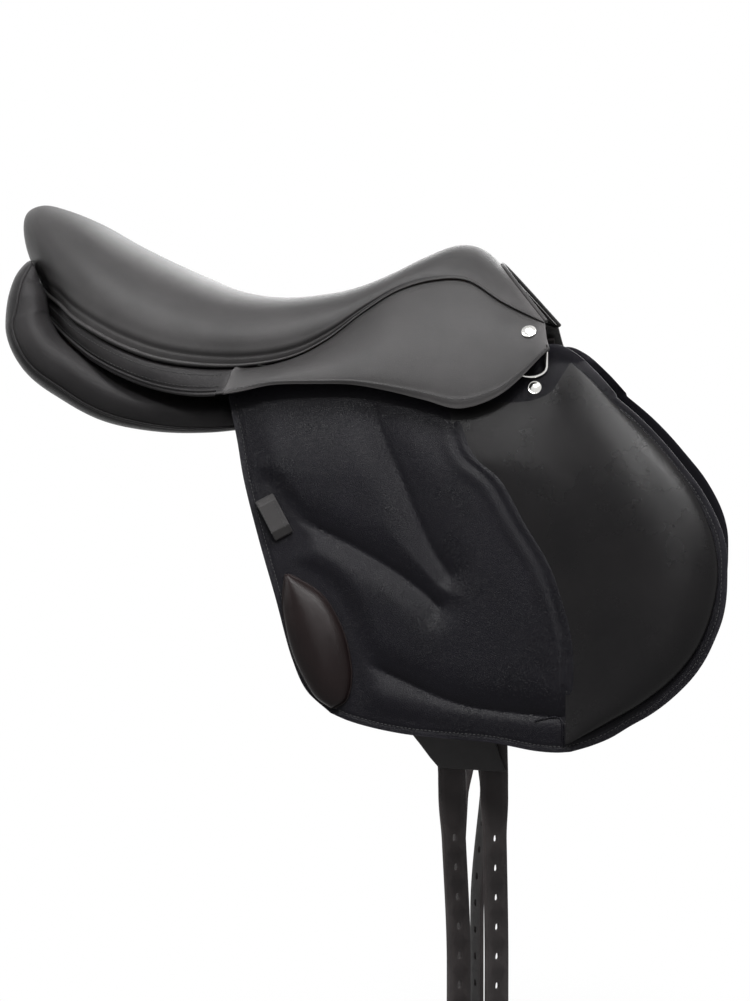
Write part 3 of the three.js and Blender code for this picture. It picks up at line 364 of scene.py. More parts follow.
def metal(name, colour, roughness, brushed):
    """Steel or nickel with fine scratches. Brushed says how much closer they lie along each axis."""
    paint, tree, shader = new_finish(name)
    stretched = node(tree, "ShaderNodeMapping", {"Vector": place_on(tree), "Scale": brushed})
    fine_noise = {"Vector": stretched.outputs[0], "Scale": 700, "Detail": 3}
    scratches = node(tree, "ShaderNodeTexNoise", fine_noise).outputs["Fac"]
    dull = tuple(0.82 * c for c in colour)
    tree.links.new(two_colours(tree, scratches, dull, colour), shader.inputs["Base Color"])
    rough = ranged(tree, scratches, wanted=(roughness - 0.05, roughness + 0.1))
    tree.links.new(rough, shader.inputs["Roughness"])
    shader.inputs["Metallic"].default_value = 1
    return paint


print("leather and metal ready")

# %% Cloth, wood and foam
def cloth(name, dark, pale, threads):
    """A woven web, darker in the gaps between its threads as painted shade, and paler on them."""
    paint, tree, shader = new_finish(name)
    weave = group_in(tree, "weave_cloth", {"Threads": threads})
    tree.links.new(two_colours(tree, weave["Gap_shade"], dark, pale), shader.inputs["Base Color"])
    add_relief(tree, shader, weave["Height"], 0.0003)
    shader.inputs["Roughness"].default_value = 0.9
    return paint


def layered_wood():
    """Beech in thin glued layers."""
    paint, tree, shader = new_finish("beech_layers")
    stretched = node(tree, "ShaderNodeMapping", {"Vector": place_on(tree), "Scale": (6, 40, 90)})
    grain_noise = {"Vector": stretched.outputs[0], "Scale": 9, "Detail": 6, "Distortion": 0.6}
    grain = node(tree, "ShaderNodeTexNoise", grain_noise).outputs["Fac"]
    tint = two_colours(tree, grain, (0.05, 0.026, 0.012), (0.12, 0.068, 0.034))
    tree.links.new(tint, shader.inputs["Base Color"])
    add_relief(tree, shader, grain, 0.0001)
    shader.inputs["Roughness"].default_value = 0.42
    return paint


def latex_foam():
    """Dark foam with open cells, darker in the hollow of each cell as painted shade."""
    paint, tree, shader = new_finish("latex_foam")
    cells = node(tree, "ShaderNodeTexVoronoi", {"Vector": place_on(tree), "Scale": 800}).outputs["Distance"]
    # The colour follows the cells' depth, which paints shade into their hollows.
    tint = two_colours(tree, cells, (0.014, 0.014, 0.015), (0.035, 0.034, 0.036))
    tree.links.new(tint, shader.inputs["Base Color"])
    add_relief(tree, shader, cells, 0.0004)
    shader.inputs["Roughness"].default_value = 0.95
    return paint


print("cloth, wood and foam ready")

# %% Materials
smooth_calf = {"Pebbles": 1500, "Depth": 0.25, "Wrinkles": 14, "Wrinkle depth": 1.0}
calf = {"Pebbles": 1500, "Depth": 0.5, "Wrinkles": 16, "Wrinkle depth": 1.4}
hide = {"Pebbles": 950, "Depth": 0.8, "Wrinkles": 16, "Wrinkle depth": 0.9}
strap_hide, thread_grain = {**hide, "Pebbles": 1300}, {**calf, "Pebbles": 2600}
leathers = {  # name, deep and lighter colour, roughness, grain and gloss
    "seat": ("seat_calf", (0.0175, 0.0168, 0.017), (0.028, 0.0265, 0.0268), 0.35, calf, 0.14),
    # darker and duller than the seat's calf: partly the panels' own leather, partly painted shade under the
    # seat
    "panel": ("panel_calf", (0.011, 0.0105, 0.011), (0.018, 0.017, 0.0175), 0.34, calf, 0.07),
    "flap": ("flap_hide", (0.0018, 0.0016, 0.0028), (0.0034, 0.003, 0.0048), 0.28, hide, 0.08),
    "pad": ("pad_calf", (0.002, 0.0018, 0.0021), (0.004, 0.0035, 0.0038), 0.27, smooth_calf, 0.13),
    "brown": ("thigh_calf", (0.0048, 0.003, 0.0031), (0.0084, 0.0052, 0.0052), 0.25, smooth_calf, 0.1),
    "strap": ("strap_hide", (0.016, 0.0138, 0.014), (0.029, 0.025, 0.025), 0.42, strap_hide, 0.1),
    "thread": ("waxed_thread", (0.02, 0.02, 0.02), (0.04, 0.04, 0.04), 0.5, thread_grain),
}
finishes = {finish: leather(*values) for finish, values in leathers.items()}
finishes["steel"] = metal("brushed_steel", (0.42, 0.43, 0.44), 0.34, (1, 12, 12))
finishes["nickel"] = metal("polished_nickel", (0.72, 0.71, 0.69), 0.16, (1, 1, 1))
finishes["webbing"] = cloth("cotton_webbing", (0.012, 0.012, 0.014), (0.045, 0.045, 0.05), 1500)
finishes["wood"] = layered_wood()
finishes["foam"] = latex_foam()
print("finishes:", ", ".join(finishes))

# %% [markdown]
# ## Lines and sections
# The saddle's forms are drawn as a few long lines over stations: the ridge along the seat's top, the seam at
# its lower edge and the hem under it. Every surface runs between such lines, so one helper makes a smooth
# curve through points and another makes a grid of points into a mesh. Lengths here are in millimetres, as
# on a maker's pattern, and become metres when a mesh is made.

# %% Curves and grids
mm = 0.001


def smooth_line(points):
    """A smooth curve through points, eased by their distances: a function of 0..1, of arrays too."""
    given = np.asarray(points, float)
    count = len(given)
    ends = np.vstack([2 * given[0] - given[1], given, 2 * given[-1] - given[-2]])
    gaps = np.sqrt(np.linalg.norm(np.diff(ends, axis=0), axis=1))

    def at(share):
        place = np.clip(np.asarray(share, float), 0, 1) * (count - 1)
        i = np.minimum(place.astype(int), count - 2)
        w = (place - i)[..., None]
        a, b, c, d = ends[i], ends[i + 1], ends[i + 2], ends[i + 3]
        before, here, after = gaps[i][..., None], gaps[i + 1][..., None], gaps[i + 2][..., None]
        start = ((b - a) / before - (c - a) / (before + here) + (c - b) / here) * here
        end = ((c - b) / here - (d - b) / (here + after) + (d - c) / after) * here
        return b + start * w + (3 * (c - b) - 2 * start - end) * w**2 + (2 * (b - c) + start + end) * w**3

    return at


def smoothstep(value, low, high):
    """Rises smoothly from 0 at the low value to 1 at the high one."""
    t = np.clip((np.asarray(value, float) - low) / (high - low), 0, 1)
    return t * t * (3 - 2 * t)


def between(a, b, share):
    """The place at a share of the way from one place to another."""
    share = np.asarray(share, float)[..., None]
    return np.asarray(a) * (1 - share) + np.asarray(b) * share


def bell(distance, middle, width):
    """Rises smoothly to 1 at the middle and falls to nothing over about twice the width."""
    return np.exp(-(((distance - middle) / width) ** 2))


def profile(distance, bells):
    """Adds up ridges and grooves beside a line, given as height, middle and width."""
    return sum(height * bell(distance, middle, width) for height, middle, width in bells)


print("lines ready")

# %% Pieces and their edges
def new_piece(name, places, faces, finish):
    """A smooth mesh object at the origin from places in millimetres."""
    mesh = bpy.data.meshes.new(name)
    mesh.from_pydata((np.asarray(places, float) * mm).tolist(), [], faces)
    mesh.polygons.foreach_set("use_smooth", [True] * len(mesh.polygons))
    mesh.materials.append(finishes[finish])
    return add_object(name, mesh)


def round_edges(piece, width, segments=2, angle=50):
    """Rounds the edges that turn by more than an angle. The width is in millimetres."""
    rounding = piece.modifiers.new("rounded_edges", "BEVEL")
    rounding.width, rounding.segments, rounding.limit_method = width * mm, segments, "ANGLE"
    rounding.angle_limit = math.radians(angle)
    rounding.use_clamp_overlap = True


def mark_worn(piece, worn):
    """Gives each point its wear, which the wear mask reads."""
    rim = piece.data.attributes.new("rim", "FLOAT", "POINT")
    rim.data.foreach_set("value", worn.astype(np.float32))


def settle(piece, angle=40):
    """Turns what the modifiers make into the piece's own mesh, with faces out."""
    made = bpy.data.meshes.new_from_object(piece.evaluated_get(bpy.context.evaluated_depsgraph_get()))
    piece.modifiers.clear()
    piece.data = made
    work = bmesh.new()
    work.from_mesh(made)
    bmesh.ops.remove_doubles(work, verts=work.verts, dist=2e-6)
    bmesh.ops.recalc_face_normals(work, faces=work.faces)
    for edge in work.edges:
        edge.smooth = len(edge.link_faces) == 2 and edge.calc_face_angle(0) < math.radians(angle)
    work.to_mesh(made)
    work.free()
    return piece


print("piece helpers ready")

# %% Grids
def grid_faces(rows, columns, start=0, turned=False, ring=False):
    """The faces of a grid of places. A ring also joins its last column to its first."""
    faces = []
    for i in range(rows - 1):
        for j in range(columns if ring else columns - 1):
            here, beside = start + i * columns + j, start + i * columns + (j + 1) % columns
            face = [here, here + columns, beside + columns, beside]
            faces.append(face[::-1] if turned else face)
    return faces


def end_faces(rows, columns):
    """Faces that close both ends of a ring grid, at two places that follow the grid's own."""
    last, tips = (rows - 1) * columns, rows * columns
    first_end = [[(j + 1) % columns, j, tips] for j in range(columns)]
    return first_end + [[last + j, last + (j + 1) % columns, tips + 1] for j in range(columns)]


def border_of(rows, columns):
    """The numbers of a grid's outermost places, once round."""
    top, down = list(range(columns)), [i * columns + columns - 1 for i in range(1, rows)]
    foot = [(rows - 1) * columns + j for j in range(columns - 2, -1, -1)]
    return top + down + foot + [i * columns for i in range(rows - 2, 0, -1)]


def from_ends(count):
    """How far each of some even steps is from the nearer end, from 0 to 0.5."""
    return np.minimum(np.linspace(0, 1, count), np.linspace(1, 0, count))


def hide_from_grids(name, outer, inner, finish, edge=0.8, rims=(0.02, 0.02)):
    """A closed leather between two grids of the same size, with rounded edges and worn rims."""
    rows, columns = outer.shape[:2]
    places = np.vstack([outer.reshape(-1, 3), inner.reshape(-1, 3)])
    half = rows * columns
    faces = grid_faces(rows, columns) + grid_faces(rows, columns, half, turned=True)
    border = border_of(rows, columns)
    faces += [[a, b, b + half, a + half] for a, b in zip(border, border[1:] + border[:1])]
    piece = new_piece(name, places, faces, finish)
    inside = np.minimum((from_ends(rows) / rims[0])[:, None], (from_ends(columns) / rims[1])[None, :])
    near = np.clip(1 - inside, 0, 1).reshape(-1)
    mark_worn(piece, np.concatenate([near, near]))
    round_edges(piece, edge)
    return settle(piece)


def out_of(grid):
    """Unit normals of a right-hand grid, pointing away from the saddle's middle."""
    normal = np.cross(np.gradient(grid, axis=0), np.gradient(grid, axis=1))
    normal = normal / np.maximum(np.linalg.norm(normal, axis=2, keepdims=True), 1e-9)
    span = np.where(np.abs(grid[..., 1]) > 1e-6, grid[..., 1], -1)
    facing = normal[..., 0] * grid[..., 0] / 4 + normal[..., 1] * span
    return np.where(facing[..., None] < 0, -normal, normal)


print("grid helpers ready")

# %% Left and right
def mirror(mesh):
    """Turns a right-hand mesh into a left-hand one, with its faces out."""
    mesh.transform(Matrix.Scale(-1, 4, (0, 1, 0)))
    mesh.flip_normals()


def left_of(piece, name):
    """The mirror image of a right-hand piece."""
    mesh = piece.data.copy()
    mesh.name = name
    mirror(mesh)
    return add_object(name, mesh)


def with_left(piece, base):
    """Names a right-hand piece and pairs it and its mirror image with their sides."""
    piece.name = f"{base}_right"
    return (piece, "right"), (left_of(piece, f"{base}_left"), "left")


def stand_for(nodes):
    """Hides the nodes that a piece replaces."""
    if nodes:
        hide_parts(*nodes)


def wear_on(piece, body, slot, *nodes, padded=None):
    """Lets a piece ride on its body and stand for its nodes."""
    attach(piece, body)
    stand_for(nodes)


def bend_onto(piece, body, ends, slot, *nodes, padded=None):
    """Bakes a piece's place into its mesh and hides the nodes that it replaces; it does not bend the piece.
    The body and the ends, two places in metres, are not used.
    """
    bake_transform(piece)
    stand_for(nodes)


def both_sides(piece, base, body, slot, *nodes, padded=None):
    """Dresses the right side with a piece and the left with its mirror image. {} is the side's name."""
    for made, side in with_left(piece, base):
        wear_on(made, body.format(side), slot, *[name.format(side) for name in nodes], padded=padded)


print("sides ready")

# %% [markdown]
# ## Stitches
# A seam is a row of short raised threads. Geometry Nodes lay it: the piece's own line is cut into equal
# steps, a small thread lies on every step, and the copies become one plain mesh. The step and the thread's
# thickness are inputs, so that one node tree sews fine and heavy seams.

# %% A row of stitches
def stitch_tree():
    """A tree that sews threads along a line, and the identifier of each of its inputs."""
    tree = bpy.data.node_groups.new("stitch_row", "GeometryNodeTree")
    identifiers = {}
    for label, kind in (("Line", "Geometry"), ("Step", "Float"), ("Thread", "Float"), ("Finish", "Material")):
        socket = tree.interface.new_socket(label, in_out="INPUT", socket_type=f"NodeSocket{kind}")
        identifiers[label] = socket.identifier
    tree.interface.new_socket("Stitches", in_out="OUTPUT", socket_type="NodeSocketGeometry")
    given, out = tree.nodes.new("NodeGroupInput").outputs, tree.nodes.new("NodeGroupOutput").inputs
    line = node(tree, "GeometryNodeMeshToCurve", {"Mesh": given["Line"]}).outputs[0]
    even_steps = {"Curve": line, "Length": given["Step"]}
    steps = node(tree, "GeometryNodeCurveToPoints", even_steps, mode="LENGTH").outputs
    bead_sizes = {"Segments": 6, "Rings": 4, "Radius": given["Thread"]}
    bead = node(tree, "GeometryNodeMeshUVSphere", bead_sizes).outputs["Mesh"]
    thread = node(tree, "GeometryNodeTransform", {"Geometry": bead, "Scale": (1, 1, 3.2)}).outputs[0]
    on_steps = {"Points": steps["Points"], "Instance": thread, "Rotation": steps["Rotation"]}
    copies = node(tree, "GeometryNodeInstanceOnPoints", on_steps).outputs[0]
    plain = node(tree, "GeometryNodeRealizeInstances", {"Geometry": copies}).outputs[0]
    painted = node(tree, "GeometryNodeSetMaterial", {"Geometry": plain, "Material": given["Finish"]})
    tree.links.new(painted.outputs[0], out[0])
    return tree, identifiers


stitch_row, stitch_inputs = stitch_tree()


def stitches(name, lines, step=3.4, thread=0.36):
    """Rows of stitches along lines of places. Step and thread are in millimetres too."""
    places = np.vstack(lines)
    line_ends = np.cumsum([len(line) for line in lines])
    links = [(i, i + 1) for i in range(len(places) - 1) if i + 1 not in line_ends]
    mesh = bpy.data.meshes.new(name)
    mesh.from_pydata((places * mm).tolist(), links, [])
    piece = add_object(name, mesh)
    sewing = piece.modifiers.new("sewing", "NODES")
    sewing.node_group = stitch_row
    for label, value in (("Step", step * mm), ("Thread", thread * mm), ("Finish", finishes["thread"])):
        sewing[stitch_inputs[label]] = value
    return settle(piece, 80)


print("stitch tree:", len(stitch_row.nodes), "nodes")

# %% [markdown]
# ## The saddle's long lines
# A station is a number along the seat, from 0 at the cantle to 19 at the pommel. At each one the maker's
# pattern gives shares of a few whole sizes: of the seat's length, of a half width and of a rise or a drop.
# The hem is the cantle band's lower edge behind and the skirt's lower edge in front.

# %% Sizes and shares
seat_length, seat_dip, cantle_rise, pommel_rise = 444.5, 119, 84, 46
seam_height, seat_half_width, hem_drop = 58, 144, 22
skirt_half_span, skirt_drop = 126, 37
cover_thickness, foam_thickness, clearance = 3, 20, 0.3
last_station = 19

ridge_shares = [
    (-0.504, 0.2), (-0.512, 0.46), (-0.526, 0.73), (-0.522, 0.93), (-0.493, 1.0), (-0.45, 0.95),
    (-0.382, 0.8), (-0.315, 0.6), (-0.247, 0.42), (-0.175, 0.25), (-0.092, 0.075), (0, 0),
    (0.092, 0.065), (0.157, 0.2), (0.225, 0.46), (0.292, 0.78), (0.349, 0.99), (0.387, 0.98),
    (0.414, 0.85), (0.436, 0.66),
]
seam_shares = [
    (-0.488, 0.2, 0.917), (-0.477, 0.347, 0.87), (-0.465, 0.45, 0.83), (-0.452, 0.54, 0.79),
    (-0.432, 0.66, 0.73), (-0.405, 0.764, 0.65), (-0.371, 0.868, 0.51), (-0.328, 0.951, 0.38),
    (-0.27, 0.993, 0.226), (-0.202, 0.993, 0.095), (-0.124, 0.924, 0.024), (-0.034, 0.785, 0.012),
    (0.049, 0.66, 0.174), (0.112, 0.569, 0.5), (0.18, 0.486, 1.02), (0.247, 0.438, 1.435),
    (0.315, 0.417, 1.63), (0.382, 0.424, 1.63), (0.457, 0.528, 1.2), (0.54, 0.646, 0.804),
]
band_hem_shares = [
    (-0.476, 0.22, 0.5), (-0.47, 0.385, 0.6), (-0.461, 0.5, 0.75), (-0.448, 0.62, 0.98),
    (-0.428, 0.76, 1.13), (-0.405, 0.88, 1.2), (-0.369, 1.01, 1.17), (-0.328, 1.1, 1.24),
    (-0.27, 1.18, 1.24), (-0.198, 1.19, 1.27), (-0.124, 1.16, 1.24), (-0.05, 1.1, 1.1),
]
skirt_hem_shares = [
    (0.022, 1.045, 0.54), (0.1, 1, 0.56), (0.175, 0.976, 0.54), (0.243, 0.97, 0.4),
    (0.315, 0.984, 0.19), (0.383, 1, 0), (0.461, 0.984, 0.32), (0.552, 0.92, 1.37),
]

print("patterns for", len(ridge_shares), "stations")

# %% Long lines
def rise_at(share):
    """The whole rise that a height is a share of: the cantle's behind the dip, the pommel's before it."""
    return cantle_rise if share < 0 else pommel_rise


ridge_points = [(x * seat_length, 0, seat_dip + z * rise_at(x)) for x, z in ridge_shares]
seam_points = [
    (x * seat_length, -y * seat_half_width, seam_height + z * rise_at(x)) for x, y, z in seam_shares
]
hem_points = [
    (x * seat_length, -y * skirt_half_span, seam_point[2] - z * hem_drop)
    for (x, y, z), seam_point in zip(band_hem_shares, seam_points)
]
hem_points += [
    (x * seat_length, -y * skirt_half_span, seam_height - skirt_drop + z * skirt_drop)
    for x, y, z in skirt_hem_shares
]
ridge_line, seam_line, hem_line = smooth_line(ridge_points), smooth_line(seam_points), smooth_line(hem_points)
back_reach = 0.008 * seat_length


def line_at(line, station):
    """A point of a line at a station; from -1 to 0 it runs on round the back to the middle plane."""
    station = np.asarray(station, float)
    place = line(np.clip(station, 0, last_station) / last_station)
    back = line(0.0) * [1, 0, 1] - [back_reach, 0, 0]
    return np.where(station[..., None] < 0, between(line(0.0), back, -np.minimum(station, 0)), place)


print("ridge from", ridge_points[0], "to", ridge_points[-1])

# %% The seat's section
rear_powers, front_powers = (0.85, 0.8), (1.2, 2)  # how round the section is, across and upwards
foam_end_share, foam_side_loss = 0.38, 0.5


def seat_point(station, across, depth=0.0):
    """A point of the seat's section: across is -1 at the right seam, 0 on the ridge and 1 at the left."""
    station, across, depth = np.broadcast_arrays(*(np.asarray(v, float) for v in (station, across, depth)))
    top, side = line_at(ridge_line, station), line_at(seam_line, station)
    base = side * [1, 0, 1]
    tall = np.linalg.norm(top - base, axis=-1)
    forward = smoothstep(station, 13, last_station)
    out_power, up_power = (rear + (front - rear) * forward for rear, front in zip(rear_powers, front_powers))
    turn = np.abs(across) * math.pi / 2
    out = np.sin(turn) ** out_power * (-side[..., 1] - depth)
    up = np.maximum(0, np.cos(turn)) ** up_power * (1 - depth / tall)
    place = base + (top - base) * up[..., None]
    place[..., 1] = np.sign(across) * out
    return place


def foam_under(station, across):
    """The depth of the foam's lower side. The foam thins towards both its ends and the seams."""
    rear, front = smoothstep(station, 3, 7), 1 - smoothstep(station, 12, 15)
    ends = foam_end_share + (1 - foam_end_share) * rear * front
    sides = 1 - foam_side_loss * np.sin(np.abs(across) * math.pi / 2) ** 2
    return cover_thickness + clearance + foam_thickness * ends * sides


print("foam's lower side in the middle:", round(float(foam_under(10, 0)), 1), "mm down")

# %% [markdown]
# ## Seat, foam, webs and tree
# A jumping saddle's seat is one soft hide drawn over shaped foam, and the foam lies on webs strained over a
# wooden tree. All of them follow one section, only at other depths, so one function lays any layer between
# two depths. The hide gets closely spaced rows towards its seams, because that is where the light turns.
# Just inside the seam a shallow groove runs where the stitches pull the hide down on the foam.

# %% Layers of the seat
def across_steps(low, high, count):
    """Shares across the seat that stand closer near the seams."""
    ends = np.arcsin(np.clip([low, high], -1, 1))
    return np.sin(np.linspace(*ends, count))


def seat_layer(name, stations, acrosses, outer, inner, finish, counts, edge=0.8):
    """A layer of the seat between two depths, given as functions of station and across."""
    along, over = np.linspace(*stations, counts[0]), across_steps(*acrosses, counts[1])
    station, across = np.meshgrid(along, over, indexing="ij")
    faces = (seat_point(station, across, depth(station, across)) for depth in (outer, inner))
    return hide_from_grids(name, *faces, finish, edge)


def flat(depth):
    """A depth that is the same all over the seat."""
    return lambda station, across: np.full(station.shape, float(depth))


def below(extra):
    """A depth that follows the foam's lower side, a little further down."""
    return lambda station, across: foam_under(station, across) + extra


groove_depths = [(0.9, 7, 2.2), (-0.5, 13, 5)]  # a dip beside the seam and a fuller line within it
section_rise, arc_share = 30, 1.25  # turn a share across into millimetres over the section's curve


def seam_groove(station, across):
    """The hide dips along its seam and stands a little full beside it, less so at the front."""
    side = np.abs(line_at(seam_line, station)[..., 1]) + section_rise
    inward = (1 - np.abs(across)) * side * arc_share
    near_seam = smoothstep(np.abs(across), 0.5, 0.8)
    return profile(inward, groove_depths) * near_seam * (1 - 0.8 * smoothstep(station, 12, 15.5))


whole_seat, under_cover = (0, last_station), flat(cover_thickness + clearance)
seat = seat_layer("seat_hide", whole_seat, (-1, 1), seam_groove, flat(cover_thickness), "seat", (153, 111))
wear_on(seat, "saddle", "seat_leather", "seat_cover", padded=0.85)
foam_edge = 5 / 6
foam = seat_layer("seat_cushion", (3, 18), (-foam_edge, foam_edge), under_cover, foam_under, "foam", (60, 41))
wear_on(foam, "saddle", "foam", "seat_foam", padded=1)
print("seat hide:", len(seat.data.polygons), "faces")

# %% Webs and tree
web, wood, plate = 2, 11, 2  # thicknesses
cross_depth = clearance + web + clearance
tree_depth = cross_depth + web + clearance
head_depth = clearance + plate + clearance
slot_of = {"webbing": "webbing", "wood": "beech", "steel": "steel"}
web_run, rail_run = (5, 15.2), (6.412, 15.588)
layers = [  # piece, node, stations, across, depth under the foam, thickness, finish, steps, rounded edge
    ("long_web_right", "seat_web_right", web_run, (-0.3, -0.04), clearance, web, "webbing", (42, 7), 0.4),
    ("beech_rail_right", "tree_rail_right", rail_run, (-0.86, -0.5), tree_depth, wood, "wood", (48, 9), 1.5),
    ("long_web_left", "seat_web_left", web_run, (0.04, 0.3), clearance, web, "webbing", (42, 7), 0.4),
    ("beech_rail_left", "tree_rail_left", rail_run, (0.5, 0.86), tree_depth, wood, "wood", (48, 9), 1.5),
    ("short_web", "cross_web", (9.6, 11.2), (-0.8, 0.8), cross_depth, web, "webbing", (8, 41), 0.4),
    ("beech_cantle", "tree_cantle", (3.6, 6.4), (-0.9, 0.9), tree_depth, wood, "wood", (16, 61), 1.5),
    ("beech_head", "tree_head", (15.6, 18.5), (-0.94, 0.94), head_depth, wood - plate, "wood", (16, 61), 1),
    ("steel_head_plate", "head_plate", (16.2, 17.8), (-0.88, 0.88), clearance, plate, "steel", (10, 55), 0.4),
]
for name, node_name, stations, acrosses, depth, thickness, finish, counts, edge in layers:
    layer = seat_layer(name, stations, acrosses, below(depth), below(depth + thickness), finish, counts, edge)
    wear_on(layer, "saddle", slot_of[finish], node_name)
head_front, head_sides, facing_back = (18.512, last_station), (-0.94, 0.94), flat(22)
facing = seat_layer("head_facing", head_front, head_sides, under_cover, facing_back, "seat", (7, 51), 1)
wear_on(facing, "saddle", "seat_leather", "pommel_facing")
print("under the hide:", ", ".join(row[0] for row in layers))

# %% [markdown]
# ## Welt, cantle band and skirts
# Below the seat a piped welt runs right round the saddle. Behind it hangs the cantle band, and in front on
# each side a skirt that the rider lifts to reach the stirrup bar. All are drawn from the seam and hem lines.
# The top edge of each leather tucks in behind the welt, as it is sewn, so no gap shows beside the piping.
# Two thin cords trim the band's hem, and a roll of the seat's calf closes its edge at the pommel.

# %% Faces of the band and the skirt
band_top = 7.8  # from the seam down to a leather's visible top edge
skirt_start = 10.75  # the station at which the band ends and the skirt begins


def hang_at(station):
    """The way from the seam to the hem, of length 1."""
    way = line_at(hem_line, station) - line_at(seam_line, station)
    return way / np.linalg.norm(way, axis=-1, keepdims=True)


def below_seam(station, drop):
    """The place some millimetres from the seam towards the hem."""
    return line_at(seam_line, station) + hang_at(station) * np.asarray(drop, float)[..., None]


def ends_between(station, share):
    """The place at a share of the way from the seam to the hem."""
    return between(line_at(seam_line, station), line_at(hem_line, station), share)


bend_start, bend_end = ends_between(skirt_start, 0.31), ends_between(last_station, 0.65)


def bend_at(station):
    """The place on the straight line that the skirt bends on."""
    x = ends_between(station, 0.6)[..., 0]
    return between(bend_start, bend_end, (x - bend_start[0]) / (bend_end[0] - bend_start[0]))


def skirt_face(station, fall, soft=0.8):
    """The skirt's outer face: fall is 0 under the welt, 1 on the bend line and 2 at the hem."""
    station, fall = np.broadcast_arrays(np.asarray(station, float), np.asarray(fall, float))
    top, bend, hem = below_seam(station, band_top), bend_at(station), line_at(hem_line, station)
    past = fall - 1
    low = np.where(np.abs(past) < soft, (past + soft) ** 2 / (4 * soft), np.maximum(past, 0))
    return bend + (bend - top) * (past - low)[..., None] + (hem - bend) * low[..., None]


def band_face(station, fall):
    """The band's plain outer face: fall is 0 under the welt and 1 at the hem."""
    return between(below_seam(station, band_top), line_at(hem_line, station), fall)


print("bend line:", bend_start.round(1), "to", bend_end.round(1))

# %% Cords and tucked edges
def tube(name, centres, radius, finish, sides=12, closed=False):
    """A round cord of leather or wire along points, with its radius given once or for each point."""
    centres = np.asarray(centres, float)
    radii = np.broadcast_to(np.asarray(radius, float), len(centres))[:, None, None]
    along = np.gradient(centres, axis=0)
    if closed:
        along = np.roll(centres, -1, axis=0) - np.roll(centres, 1, axis=0)
    along /= np.linalg.norm(along, axis=1, keepdims=True)
    side = np.cross(along, [0, 0, 1])
    flat_run = np.linalg.norm(side, axis=1, keepdims=True)
    side = np.where(flat_run > 1e-3, side / np.maximum(flat_run, 1e-6), [0, 1, 0])
    up = np.cross(side, along)
    turn = np.linspace(0, 2 * math.pi, sides, endpoint=False)[:, None]
    rings = centres[:, None] + radii * (side[:, None] * np.cos(turn) + up[:, None] * np.sin(turn))
    last = (len(centres) - 1) * sides
    faces = grid_faces(len(centres), sides, ring=True)
    if closed:
        faces += [[last + j, j, (j + 1) % sides, last + (j + 1) % sides] for j in range(sides)]
    else:
        faces += [list(range(sides))[::-1], [last + j for j in range(sides)]]
    return settle(new_piece(name, rings.reshape(-1, 3), faces, finish))


def tuck(grid, rows, reach=2.2, short=1.2):
    """Adds rows above a leather's top edge that run in behind the welt, to a short way from the seam."""
    normal = out_of(grid)[:, :1]
    way = grid[:, :1] - grid[:, 1:2]
    way /= np.linalg.norm(way, axis=2, keepdims=True)
    share = np.linspace(1, 1 / rows, rows)[None, :, None]
    extra = grid[:, :1] + way * (band_top - short) * share - normal * reach * np.minimum(1, 1.6 * share)
    return np.concatenate([extra, grid], axis=1)


def leather_under(grid, thickness):
    """The inner side of a leather whose outer face is a grid."""
    return grid - out_of(grid) * thickness


def round_the_back(half):
    """Joins a half that ends in the middle plane with its mirror image."""
    return np.concatenate([half, half[::-1][1:] * [1, -1, 1]], axis=0)


print("cord and edge helpers ready")

# %% Welt
rear_welt_radius, front_welt_radius = 2.1, 0.9
welt_steps = np.concatenate([np.linspace(last_station, 0, 230), np.linspace(-0.1, -1, 10)])
forward = smoothstep(welt_steps, 9.5, 12.5)
welt_size = rear_welt_radius + (front_welt_radius - rear_welt_radius) * forward
welt_line = round_the_back(below_seam(welt_steps, 1.1 * welt_size))
welt = tube("seat_piping", welt_line, np.concatenate([welt_size, welt_size[::-1][1:]]), "seat")
wear_on(welt, "saddle", "seat_leather", "seat_welt")
print("welt:", len(welt_line), "rings")

# %% Cantle band
under_skirt = 0.005  # how far, in stations, the band's end lies under the skirt
band_steps = np.concatenate([np.linspace(skirt_start - under_skirt, 0, 110), np.linspace(-0.2, -1, 5)])
band_station, band_fall = np.meshgrid(band_steps, np.linspace(0, 1, 17), indexing="ij")
band_thickness, band_fullness, full_until = 2.6, 0.9, 0.75
hem_ridges = [(-0.7, 0.8, 0.06), (0.5, 0.93, 0.05)]


def band_swell(fall):
    """How far the stuffed face stands out. It is full in its middle and drawn in above the piping."""
    field = band_fullness * np.sin(math.pi * np.clip(fall / full_until, 0, 1))
    return (field + profile(fall, hem_ridges))[..., None]


band_right = band_face(band_station, band_fall)
band_right = band_right + out_of(band_right) * band_swell(band_fall)
band_right[-1, :, 1] = 0
band_outer = tuck(round_the_back(band_right), rows=4)
band_inner = leather_under(band_outer, band_thickness)
# The band wears the darker panel calf, which paints the shade under the seat's overhang on it.
band = hide_from_grids("cantle_leather", band_outer, band_inner, "panel", edge=0.7, rims=(0.004, 0.08))
wear_on(band, "saddle", "seat_leather", "cantle_band")
print("band:", len(band.data.polygons), "faces")

# %% Trim of the band and the pommel
band_whole = round_the_back(band_face(band_station, band_fall))
band_out = out_of(band_whole)
band_cord_radius = 1.35
# Its cords take the same darker calf, with the same painted shade.
for cord, row, lift in (("lower", 16, -1.2), ("upper", 14, 0.35)):
    cord_line = band_whole[:, row] + band_out[:, row] * lift
    band_piping = tube(f"cantle_piping_{cord}", cord_line[2:-2], band_cord_radius, "panel", sides=10)
    wear_on(band_piping, "saddle", "seat_leather")
swell = band_swell(band_fall)
sewn_face = band_whole + band_out * (np.concatenate([swell, swell[::-1][1:]], axis=0) + 0.15)
band_stitches = stitches("band_stitches", [sewn_face[2:-2, row] for row in (3, 11)])
wear_on(band_stitches, "saddle", "seat_leather")
roll_depth, roll_radius = 2.4, 1.9
roll_line = seat_point(last_station, np.linspace(-1, 1, 81), roll_depth) + [1.5, 0, 0]
pommel_roll = tube("pommel_roll", roll_line, roll_radius, "seat")
wear_on(pommel_roll, "saddle", "seat_leather")
print("piping on the band, a roll on the pommel's edge")

